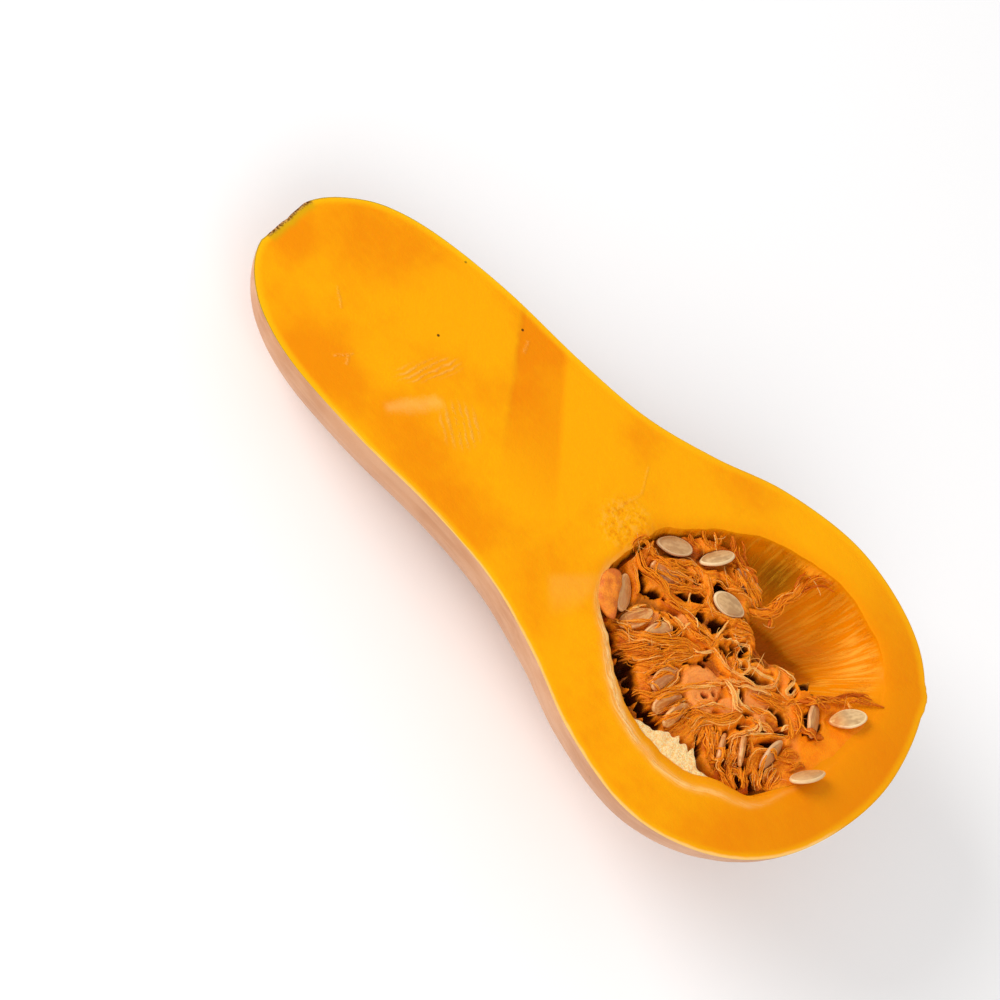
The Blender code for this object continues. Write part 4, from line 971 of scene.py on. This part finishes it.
# The core's top: lumpy just under the cut, sunk at its edge, never below the cavity's floor; valleys with
# grain between the bundles, smooth skins, and hollows
def coreTop(x, y):
    share, angle = shareAndAngle(x, y)
    edge = np.clip(share / byAngle(pulp["reach"], angle), 0, 1)
    lumps = pulp["lump"] * np.sin(x / pulp["lumpSize"][0]) * np.sin(y / pulp["lumpSize"][1])
    top = -(pulp["sink"] + byAngle(pulp["edgeSink"], angle) * edge ** pulp["edgeCurve"] + lumps)
    near, along, across = nearBundles(x, y)
    film = easeStep(x + y, *pulp["film"])
    calm = film
    for sx, sy, reach, height in pulp["skins"]:
        inside = 1 - easeStep(np.hypot(x - sx, y - sy) / reach, 0.7, 1.1)
        top = top * (1 - inside) + height * inside
        calm = np.maximum(calm, inside * 0.85)
    fibrous = 1 - calm
    valley = 1 - np.exp(-((np.maximum(near - pulp["valleyWidth"], 0)) ** 2))
    grain = wander(np.stack((along / 7, across, 0 * x), axis=-1), 0.55, 41)
    grain = grain + 0.5 * wander(np.stack((along / 5, across, 0 * x), axis=-1), 0.27, 42)
    height = top - pulp["valley"] * valley * fibrous
    height = height + pulp["grain"] * grain * (0.25 + 0.75 * fibrous) * (1 - 0.8 * film)
    right, down = slanted(x, y)
    deepest = np.zeros(np.shape(x))
    ragged = 1 + 0.3 * wander(np.stack((x, y, 0 * x), axis=-1), 1.3, 43)
    for hx, hy, rx, ry, deep in pulp["hollows"]:
        holeRight, holeDown = slanted(hx, hy)
        distance = np.hypot((right - holeRight) / (rx + 0.25), (down - holeDown) / (ry + 0.25)) * ragged
        deepest = np.maximum(deepest, deep * (1 - easeStep(distance, 0.65, 1.15)))
    bare = floorHeight(x, y)
    floor = bare - roundedAway(angle, -bare) + pulp["floorGap"] + pulp["thinnest"] * (1 - edge**8)
    floor = floor - pulp["filmDip"] * film * edge**8
    surface = softMax(height - deepest, floor, pulp["blendOver"] * (1 - edge**8) + 0.02)
    return surface, floor, film, calm, deepest


# Height of a seed's upper side over the face, and how far out in its outline each place is
def seedTop(pose, x, y):
    normal = pose["axes"][2]
    dx, dy = x - pose["middle"][0], y - pose["middle"][1]
    plane = pose["middle"][2] - (dx * normal[0] + dy * normal[1]) / normal[2]
    local = (np.stack((x, y, plane), axis=-1) - pose["middle"]) @ pose["axes"].T
    out = np.hypot(local[..., 0] / pose["size"][0], local[..., 1] / pose["size"][1])
    return plane, pose["size"][2] / normal[2] * np.sqrt(np.clip(1 - out**2, 0, 1)), out


# The core: rings out over its top, down its side and back in just above the cavity's floor
def makeCore(finish, poses):
    angle = np.arange(pulp["around"]) * 2 * math.pi / pulp["around"]
    ways = np.stack((np.cos(angle), np.sin(angle)), axis=-1)
    rim = byAngle(half["rim"], angle)
    reach = byAngle(pulp["reach"], angle)
    foot = reach + pulp["foot"] * np.clip(pulp["footShare"] - reach, 0, None)
    shares = np.linspace(0, 1, pulp["topRows"] + 1)[1:, None] ** 0.85
    flat = half["middle"] + (rim * reach * shares)[..., None] * ways
    heights, floor, film, calm, deepest = coreTop(flat[..., 0], flat[..., 1])
    # an open bed under and round each seed
    for pose in poses:
        plane, _, out = seedTop(pose, flat[..., 0], flat[..., 1])
        bed = plane - 0.5 - pose["size"][2] / pose["axes"][2][2] * 0.6
        inside = 1 - easeStep(out, 0.95, 1.2)
        heights = heights * (1 - inside) + np.minimum(heights, np.maximum(bed, floor)) * inside
    upper = np.dstack((flat, heights))
    inward = np.linspace(1, 0, pulp["bottomRows"] + 1)[:-1, None]
    under = half["middle"] + (rim * foot * inward)[..., None] * ways
    bare = floorHeight(under[..., 0], under[..., 1])
    dip = 2 * pulp["filmDip"] * easeStep(under[..., 0] + under[..., 1], *pulp["film"])
    under = np.dstack((under, bare - roundedAway(angle, -bare) + pulp["floorGap"] - dip))
    blend = np.linspace(0, 1, pulp["sideRows"] + 2)[1:-1, None, None]
    side = upper[-1] * (1 - blend) + under[0] * blend
    drop = np.clip((upper[-1, :, 2] - under[0, :, 2]) / 6, 0, 1)
    folds = (wander(side * (1, 1, 0.3), 2.6, 25) * 1.2 + wander(side, 7, 26) * 1.5) * drop
    side[..., :2] += (folds * np.sin(blend[..., 0] * math.pi))[..., None] * ways
    rings = np.concatenate((upper, side, under))
    numbers = np.arange(rings[..., 0].size).reshape(rings.shape[:2])
    points = np.concatenate((
        rings.reshape(-1, 3),
        [(*half["middle"], upper[0, :, 2].mean()), (*half["middle"], pulp["floorGap"] - half["depth"])],
    ))
    faces = closedFaces(points, numbers)

    # a value over the top, with one number for the side and the underside
    def overTop(field, below):
        onTop = np.broadcast_to(field, flat.shape[:2]).ravel()
        return np.concatenate((onTop, np.full(len(points) - len(onTop), below)))

    base = -pulp["sink"] - byAngle(pulp["edgeSink"], angle) * shares ** pulp["edgeCurve"]
    # painted shade: darker the lower the top lies below its usual height, and in the film's hollows
    pitShade = np.clip((base - heights) / 7, 0, 1) * (1 - film) + np.clip(deepest / 6, 0, 0.8) * film
    values = {
        "place": points, "pitShade": overTop(pitShade, 0.5), "film": overTop(film, 0.2), "calm": overTop(calm, 0),
        "tint": 0.42 + 0.3 * wander(points, 6, 27) + 0.15 * wander(points, 1.5, 28),
    }
    addPiece("pulpCore", points, faces, values, [finish], ["pulp"])


# Tubes along many paths at once: rings square to each path, a point at both ends
def sweep(paths, radii, sides, flatten=1.0):
    ahead = np.gradient(paths, axis=1)
    ahead /= np.maximum(np.linalg.norm(ahead, axis=2, keepdims=True), 1e-6)
    across = np.cross(ahead, (0.1, 0.05, 1))
    across /= np.maximum(np.linalg.norm(across, axis=2, keepdims=True), 1e-6)
    above = np.cross(across, ahead)
    turn = np.arange(sides)[:, None] * 2 * math.pi / sides
    ring = np.cos(turn) * across[:, 1:-1, None] + flatten * np.sin(turn) * above[:, 1:-1, None]
    if radii.ndim == 2:
        radii = radii[..., None]
    ring = paths[:, 1:-1, None] + radii[:, 1:-1, :, None] * ring
    count, steps = ring.shape[:2]
    points = np.concatenate((paths[:, :1], ring.reshape(count, -1, 3), paths[:, -1:]), axis=1)
    numbers = np.arange(points[..., 0].size).reshape(count, -1)
    rings = numbers[:, 1:-1].reshape(count, steps, sides)
    following = np.roll(rings, -1, axis=2)
    startTips, endTips = (np.broadcast_to(numbers[:, [i]], rings[:, 0].shape) for i in (0, -1))
    quads = np.stack((rings[:, :-1], following[:, :-1], following[:, 1:], rings[:, 1:]), axis=-1)
    first = np.stack((startTips, following[:, 0], rings[:, 0]), axis=-1)
    last = np.stack((endTips, rings[:, -1], following[:, -1]), axis=-1)
    return points.reshape(-1, 3), [quads.reshape(-1, 4), first.reshape(-1, 3), last.reshape(-1, 3)]


# Keeps paths clear of the seeds: under the open ones, over the covered ones
def besideSeeds(paths, poses, width):
    for pose in poses:
        plane, thick, out = seedTop(pose, paths[..., 0], paths[..., 1])
        inside = 1 - easeStep(out, 0.85, 1.15)
        if pose["open"]:
            limit = plane - 1.2 - pose["size"][2]
            target = np.minimum(paths[..., 2], limit)
        else:
            target = np.maximum(paths[..., 2], plane + thick + 0.3 * width)
        paths[..., 2] = paths[..., 2] * (1 - inside) + target * inside
    return paths


# The bundles: each a flattened tube with a wavy outline, and finer strands that wind along it; last a few
# loose hairs across them
def makeStrands(finish, poses):
    draw = np.random.default_rng(strands["seed"])
    groups = []

    def add(paths, radii, sides, tints, flatten=1.0):
        points, faces = sweep(paths, radii, sides, flatten)
        groups.append((points, faces, np.repeat(tints, len(points) // len(paths))))

    steps = strands["steps"]
    paths = np.stack([bundlePath(bundle, steps) for bundle in strands["bundles"]])
    width = np.array([bundle[3] for bundle in strands["bundles"]])[:, None]
    tint = np.array([bundle[4] for bundle in strands["bundles"]])
    ground, floor = coreTop(paths[..., 0], paths[..., 1])[:2]
    t = np.linspace(0, 1, steps)
    ends = np.sin(math.pi * t) ** 0.5
    middle = paths.copy()
    lowest = np.maximum(ground + 0.1 * width, floor + 0.3)
    middle[..., 2] = np.maximum(middle[..., 2], lowest) - 0.5 * (1 - ends)
    middle = besideSeeds(middle, poses, width)
    sway = np.stack([wander(middle, 4, 31), wander(middle, 4, 32), 0.6 * wander(middle, 3, 33)], axis=-1)
    middle = middle + 0.35 * sway
    turn = np.arange(strands["sides"]) * 2 * math.pi / strands["sides"]
    phase = draw.uniform(0, 2 * math.pi, (len(paths), 1, 1))
    lobes = 1 + 0.16 * np.sin(3 * turn + phase + 9 * t[:, None])
    lobes = lobes + 0.12 * np.sin(2 * turn - 5 * t[:, None] + 2 * phase)
    radii = 0.5 * width * (0.25 + 0.75 * ends) * (1 + 0.3 * wander(middle, 3.1, 34))
    radii = radii[..., None] * lobes * 0.8
    add(middle, radii, strands["sides"], tint - 0.1, strands["flatten"])

    # finer strands: a stretch of the bundle's line, wound round it at about half its width
    shares = [math.ceil(bundle[6] * strands["fineFactor"]) for bundle in strands["bundles"]]
    owner = np.repeat(np.arange(len(paths)), shares)
    count = len(owner)
    low, high = draw.uniform(-0.04, 0.4, count), draw.uniform(0.6, 1.04, count)
    t = np.linspace(0, 1, strands["fineSteps"])
    where = np.clip(low[:, None] + (high - low)[:, None] * t, 0, 1) * (steps - 1)
    index = np.minimum(where.astype(int), steps - 2)
    part = (where - index)[..., None]
    line = middle[owner[:, None], index] * (1 - part) + middle[owner[:, None], index + 1] * part
    way = np.gradient(line, axis=1)
    across = np.stack((-way[..., 1], way[..., 0], 0 * way[..., 0]), axis=-1)
    across /= np.maximum(np.linalg.norm(across, axis=2, keepdims=True), 1e-6)
    wind = draw.uniform(0, 2 * math.pi, count)[:, None] + draw.normal(0, 2.0, count)[:, None] * t
    spread = np.array([bundle[5] for bundle in strands["bundles"]])[owner]
    away = (0.42 * width[owner, 0] + draw.uniform(0, 1, count) * spread)[:, None]
    away = away * (1 + 0.3 * wander(line + draw.uniform(0, 60, (count, 1, 1)), 3, 35))
    line = line + (away * np.cos(wind))[..., None] * across
    line[..., 2] += away * np.abs(np.sin(wind)) * 0.85
    line = line + 0.3 * np.stack([wander(line + 40 * i, 2.2, 36 + i) for i in range(3)], axis=-1)
    ground = coreTop(line[..., 0], line[..., 1])[0]
    line[..., 2] = np.maximum(line[..., 2], np.minimum(ground, line[..., 2] + 1.5))
    line = besideSeeds(line, [pose for pose in poses if pose["open"]], 0)
    line[:, [0, -1], 2] -= 0.35
    radius = draw.uniform(*strands["fineWidth"], count)[:, None] * (0.6 + 0.4 * np.sin(math.pi * t))
    add(line, radius, strands["fineSides"], tint[owner] + draw.normal(0.0, 0.15, count))

    # loose hairs, each a bowed line with its ends lower than its middle
    count = strands["hairs"]
    start = draw.integers(0, len(paths), count)
    place = middle[start, draw.integers(3, steps - 3, count)]
    heading = draw.uniform(0, 2 * math.pi, count)
    reach = draw.uniform(1.5, 6, count)[:, None] * np.stack((np.cos(heading), np.sin(heading)), axis=-1)
    t = np.linspace(-1, 1, strands["hairSteps"])
    hair = np.zeros((count, len(t), 3))
    hair[..., :2] = place[:, None, :2] + reach[:, None] * t[:, None]
    bow = draw.normal(0, 1.4, count)[:, None] * (1 - t**2)
    aside = np.stack((-np.sin(heading), np.cos(heading)), axis=-1)
    hair[..., :2] += bow[..., None] * aside[:, None]
    ground = coreTop(hair[..., 0], hair[..., 1])[0]
    hair[..., 2] = np.maximum(ground, place[:, 2:]) + 0.5 + 0.5 * wander(hair, 2, 39) - 0.9 * t**2
    hair = besideSeeds(hair, [pose for pose in poses if pose["open"]], 0)
    radius = draw.uniform(*strands["hairWidth"], count)[:, None] * np.ones(len(t))
    add(hair, radius, strands["hairSides"], draw.uniform(0.7, 1.1, count))

    points = np.concatenate([group[0] for group in groups])
    faces, base = [], 0
    for group in groups:
        faces += [block + base for block in group[1]]
        base += len(group[0])
    points[:, 2] = np.minimum(points[:, 2], strands["highest"])
    # painted shade on the strands: darker the deeper they lie, none in the film
    pitShade = np.clip((-pulp["sink"] - 1.5 - points[:, 2]) / 8, 0, 1)
    pitShade = pitShade * (1 - easeStep(points[:, 0] + points[:, 1], *pulp["film"]))
    none = np.zeros(len(points))
    tints = np.concatenate([group[2] for group in groups])
    values = {"place": points, "pitShade": pitShade, "film": none, "calm": none, "tint": tints}
    addPiece("pulpStrands", points, faces, values, [finish], ["pulp"])


# Pulp: deep orange to orange on the fibres by their paleness, salmon where they are thin and dry; flesh
# orange where it runs out into a film over the wall; near-black painted shade in the pits and low places
def pulpFinish():
    looks = dict(
        pitShadeColor=tone(84, 34, 4), deep=tone(196, 86, 2), orange=tone(242, 138, 16), salmon=tone(255, 190, 106),
        skin=tone(238, 150, 80), film=tone(244, 136, 2), filmDeep=tone(240, 126, 0),
    )
    finish = Finish("squashPulp", Subsurface_Weight=0.15, Subsurface_Scale=0.0015, Specular_IOR_Level=0.14)
    finish.shader.inputs["Subsurface Radius"].default_value = (1.0, 0.4, 0.12)
    place = finish.vector("place")
    tint, pitShade = finish.value("tint"), finish.value("pitShade")
    film, calm = finish.value("film"), finish.value("calm")
    fine = finish.clouds(place, 1.6, detail=3)
    broad = finish.clouds(place, 0.3, detail=3)
    shade = tint + (fine - 0.5) * 0.5
    color = finish.blend(shade.step(0.1, 0.5), looks["deep"], looks["orange"])
    color = finish.blend(shade.step(0.6, 1.0), color, looks["salmon"])
    color = finish.blend(calm * (0.5 + broad * 0.5), color, looks["skin"])
    filmColor = finish.blend(broad.step(0.42, 0.6), looks["filmDeep"], looks["film"])
    color = finish.blend(film, color, filmColor)
    # near-black painted shade in the pits and low places
    color = finish.blend(pitShade.step(0.12, 0.62), color, looks["pitShadeColor"])
    return finish.finished(color, 0.34 + fine * 0.15, finish.relief(fine * 0.25 + broad * 0.2))


seedForm = dict(
    around=52, rows=15, taper=0.28, shrink=0.985,
    # how much film covers each seed; a pair says where along it the film starts and is full, blunt end -1
    film=dict(
        seed_04=0.8, seed_05=0.6, seed_06=0.9, seed_07=(-0.1, 0.75), seed_08=0.55, seed_09=0.25, seed_10=0.3,
        seed_11=0.8, seed_12=0.85, seed_13=0.85, seed_14=0.85, seed_15=0.85, seed_16=0.6, seed_17=0.7,
    ),
    open=("seed_01", "seed_02", "seed_03", "seed_07", "seed_09"),
    # how much darker and browner each coat is painted: partly its own brown, partly painted shade where the
    # seed lies in shade
    ageAndShade=dict(seed_01=0.75, seed_02=0.3, seed_03=0.45, seed_07=0.0, seed_08=0.9, seed_09=0.25, seed_10=0.8),
)


# Where a seed lies, from its solid's points: the middle, then the long, wide and thin directions; the long
# one points to the narrow end
def seedPose(node):
    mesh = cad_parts[node].data
    points = np.empty(len(mesh.vertices) * 3)
    mesh.vertices.foreach_get("co", points)
    points = np.unique(np.round(lifted(points.reshape(-1, 3)), 3), axis=0)
    middle = points.mean(axis=0)
    axes = np.linalg.svd(points - middle, full_matrices=False)[2]
    local = (points - middle) @ axes.T
    middle = middle + ((local.max(axis=0) + local.min(axis=0)) / 2) @ axes
    local = (points - middle) @ axes.T
    if np.sum(local[:, 0] * local[:, 1] ** 2) > 0:
        axes[0] *= -1
    if axes[2, 2] < 0:
        axes[2] *= -1
    axes[1] = np.cross(axes[2], axes[0])
    size = (local.max(axis=0) - local.min(axis=0)) / 2
    return dict(node=node, middle=middle, axes=axes, size=size, open=node in seedForm["open"])


# A seed on a polar grid, top and bottom: an oval that narrows to a point, its face domed, a groove and then
# a raised band along the edge
def makeSeed(pose, finish):
    length, width, thick = pose["size"] * seedForm["shrink"]
    turn = np.arange(seedForm["around"]) * 2 * math.pi / seedForm["around"]
    rho = np.linspace(0, 1, seedForm["rows"] + 1)[1:, None] ** 0.8
    along = np.cos(turn)
    across = np.sin(turn) * (1 - seedForm["taper"] * np.clip(along, 0, None) ** 1.5)
    dome = 1 - 0.48 * rho**2
    groove = 0.16 * np.exp(-(((rho - 0.82) / 0.05) ** 2))
    band = np.sqrt(np.clip(1 - np.clip((rho - 0.88) / 0.12, 0, 1) ** 2, 0, 1))
    high = thick * (dome - groove) * band
    x, y, high = np.broadcast_arrays(length * rho * along, width * rho * across, high)
    top = np.stack((x, y, high), axis=-1)
    bottom = np.stack((x, y, -high), axis=-1)[:-1]
    rings = np.concatenate((top, bottom[::-1]))
    numbers = np.arange(rings[..., 0].size).reshape(rings.shape[:2])
    local = np.concatenate((rings.reshape(-1, 3), [(0, 0, thick), (0, 0, -thick)]))
    points = pose["middle"] + local @ pose["axes"]
    rim = np.broadcast_to(rho, top.shape[:2])
    reach = np.concatenate((rim.ravel(), rim[:-1][::-1].ravel(), (0, 0)))
    cover = seedForm["film"].get(pose["node"], 0.0)
    if isinstance(cover, tuple):
        film = 0.85 * easeStep(local[:, 0] / length, *cover)
    else:
        film = np.full(len(local), cover)
    ageAndShade = np.full(len(local), seedForm["ageAndShade"].get(pose["node"], 0.5))
    values = {"local": local, "reach": reach, "film": film, "ageAndShade": ageAndShade}
    name = "seed" + pose["node"][-2:]
    addPiece(name, points, closedFaces(points, numbers), values, [finish], [pose["node"]])


# Seed coat: tan cream, greyer in the middle, a lighter band round the edge; orange where film covers it
def seedFinish():
    looks = dict(
        cream=tone(224, 184, 128), middle=tone(188, 148, 98), band=tone(244, 214, 162),
        film=tone(206, 116, 30), filmPale=tone(236, 170, 92), agedAndShaded=tone(176, 112, 58),
    )
    finish = Finish("seedCoat", Coat_Roughness=0.18, Specular_IOR_Level=0.45)
    finish.shader.inputs["Coat Weight"].default_value = 0.3
    local, reach, film = finish.vector("local"), finish.value("reach"), finish.value("film")
    fibres = finish.clouds(local, 0.9, detail=3, stretch=(0.35, 1, 1))
    fine = finish.clouds(local, 3, detail=2)
    blotches = finish.clouds(local, 0.3, detail=2)
    greyer = (fibres + (0.55 - reach) * 0.35 + (blotches - 0.5)).step(0.3, 0.7)
    color = finish.blend(greyer, looks["cream"], looks["middle"])
    color = finish.blend(reach.step(0.84, 0.92), color, looks["band"])
    # darker, browner coats: partly their own brown, partly painted shade
    color = finish.blend(finish.value("ageAndShade") * 0.6, color, looks["agedAndShaded"])
    cover = finish.blend(fibres.step(0.4, 0.65), looks["film"], looks["filmPale"])
    color = finish.blend(film * (0.6 + fine * 0.8).math("MINIMUM", 1), color, cover)
    return finish.finished(color, 0.28 + fine * 0.14, finish.relief(fibres * 0.12 + fine * 0.04))


flap = dict(
    middle=(27.6, -9.4), around=60, rows=14, thickness=0.5, height=0.1, dome=0.8,
    outline=(
        (23.2, -11.5), (21.3, -8.4), (20.5, -4.7), (21.8, -1.2), (24.6, 0.2), (27.8, -2.4), (29.6, -6.2),
        (32.2, -10.4), (34.2, -14.6), (32.7, -15.8), (29.8, -15.9), (26.8, -15.5), (24.3, -13.6),
    ),
)


# The skin flap at the cavity's corner: a thin dome over a smooth closed outline, its height
# dome * (1 - r^2), with soft bumps and its edge turned down
def makeFlap(finish):
    turn = np.linspace(0, len(flap["outline"]), flap["around"], endpoint=False)
    index = turn.astype(int)
    table = np.array(flap["outline"], float)
    part = (turn - index)[:, None]
    ring = cubic(*(table[(index + i) % len(table)] for i in (-1, 0, 1, 2)), part)
    rho = np.linspace(0, 1, flap["rows"] + 1)[1:, None, None]
    flat = flap["middle"] + rho * (ring - flap["middle"])
    rho = rho[..., 0]
    height = flap["height"] + flap["dome"] * (1 - rho**2) + 0 * flat[..., 0]
    height = height + 0.35 * wander(np.dstack((flat, 0 * height)), 2.6, 61) - 1.2 * rho**8
    height = height - 0.10 * np.clip(flat[..., 0] - 24, 0, None)
    top = np.dstack((flat, height))
    bottom = np.dstack((flat, height - flap["thickness"] - 0.6 * (1 - rho**4)))[:-1]
    rings = np.concatenate((top, bottom[::-1]))
    numbers = np.arange(rings[..., 0].size).reshape(rings.shape[:2])
    peak = flap["height"] + flap["dome"]
    middle = [(*flap["middle"], peak - 0.3), (*flap["middle"], peak - 1.6)]
    points = np.concatenate((rings.reshape(-1, 3), middle))
    count = len(points)
    values = {
        "place": points, "pitShade": np.zeros(count), "film": np.zeros(count), "calm": np.full(count, 0.3),
        "tint": 0.22 + 0.25 * wander(points * (1, 1, 0), 2.2, 62),
    }
    addPiece("pulpFlap", points, closedFaces(points, numbers), values, [finish], ["pulp"])


studio = dict(
    # focal length and picture width in pixels, the face's origin seen from the camera and the sensor in mm
    cameraTurn=math.radians(44.5), faceTilt=math.radians(33), focal=2674.3, width=1000,
    origin=(23.22, 6.39, 900), sensor=36, clip=(0.05, 20),
    # each light: way to it in the face frame, distance, size, power; where they aim, on the ground's frame
    lights=dict(
        keyLight=((-0.918, -0.201, 0.584), 3.0, 1.9, 63),
        fillLight=((0.5, -0.8, 0.7), 2.4, 2.0, 22),
    ),
    aim=(0.03, 0, 0.03), sky=0.58, floor=tone(253, 252, 252), floorReach=6,
)


# The camera: axes of the cut face as the photo shows them, turned into a camera that looks at it
def makeCamera():
    turn, tilt = studio["cameraTurn"], studio["faceTilt"]
    across = np.array((math.cos(turn), math.sin(turn), 0))
    downhill = np.array((math.sin(turn), -math.cos(turn), 0))
    ahead = np.array((0, 0, 1))
    normal = math.sin(tilt) * downhill - math.cos(tilt) * ahead
    sideways = math.cos(tilt) * downhill + math.sin(tilt) * ahead
    axes = np.column_stack((across, sideways, normal))
    eye = laidDown(-axes.T @ studio["origin"])
    right, down, forward = (restTurn @ axes[i] for i in range(3))
    data = bpy.data.cameras.new("camera")
    data.sensor_width = studio["sensor"]
    data.lens = studio["focal"] * studio["sensor"] / studio["width"]
    data.clip_start, data.clip_end = studio["clip"]
    camera = bpy.data.objects.new("camera", data)
    columns = Matrix((right, -down, -forward)).transposed()
    camera.matrix_world = Matrix.Translation(eye) @ columns.to_4x4()
    bpy.context.scene.collection.objects.link(camera)
    bpy.context.scene.camera = camera


# A round area light, its way given in the face frame, aimed at the bulb
def makeLight(name, way, distance, size, power):
    data = bpy.data.lights.new(name, "AREA")
    data.shape, data.size, data.energy = "DISK", size, power
    light = bpy.data.objects.new(name, data)
    way = Vector(restTurn @ np.array(way)).normalized()
    light.location = Vector(studio["aim"]) + way * distance
    light.rotation_euler = way.to_track_quat("Z", "Y").to_euler()
    bpy.context.scene.collection.objects.link(light)


# The studio: camera, two soft lights, a white sky and a plain pale floor
def makeStudio():
    makeCamera()
    for name, light in studio["lights"].items():
        makeLight(name, *light)
    world = bpy.data.worlds.new("studioSky")
    world.use_nodes = True
    world.node_tree.nodes["Background"].inputs["Color"].default_value = (1, 1, 1, 1)
    world.node_tree.nodes["Background"].inputs["Strength"].default_value = studio["sky"]
    bpy.context.scene.world = world
    finish = Finish("studioFloor", Roughness=0.9, Specular_IOR_Level=0.1)
    finish.shader.inputs["Base Color"].default_value = studio["floor"]
    mesh = bpy.data.meshes.new("studioFloor")
    far = studio["floorReach"]
    mesh.from_pydata([(-far, -far, 0), (far, -far, 0), (far, far, 0), (-far, far, 0)], [], [(0, 1, 2, 3)])
    mesh.materials.append(finish.material)
    floor = bpy.data.objects.new("studioFloor", mesh)
    floor.location.z = cadBox[0][2]
    bpy.context.scene.collection.objects.link(floor)
    bpy.context.scene.view_settings.view_transform = "Standard"


print("studio")
makeStudio()
print("squash half")
makeHalf(fleshFinish(), skinFinish())
print("seeds")
coat = seedFinish()
poses = [seedPose(node) for node in sorted(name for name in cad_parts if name.startswith("seed_"))]
for pose in poses:
    makeSeed(pose, coat)
print("pulp")
fibre = pulpFinish()
makeCore(fibre, poses)
makeStrands(fibre, poses)
makeFlap(fibre)
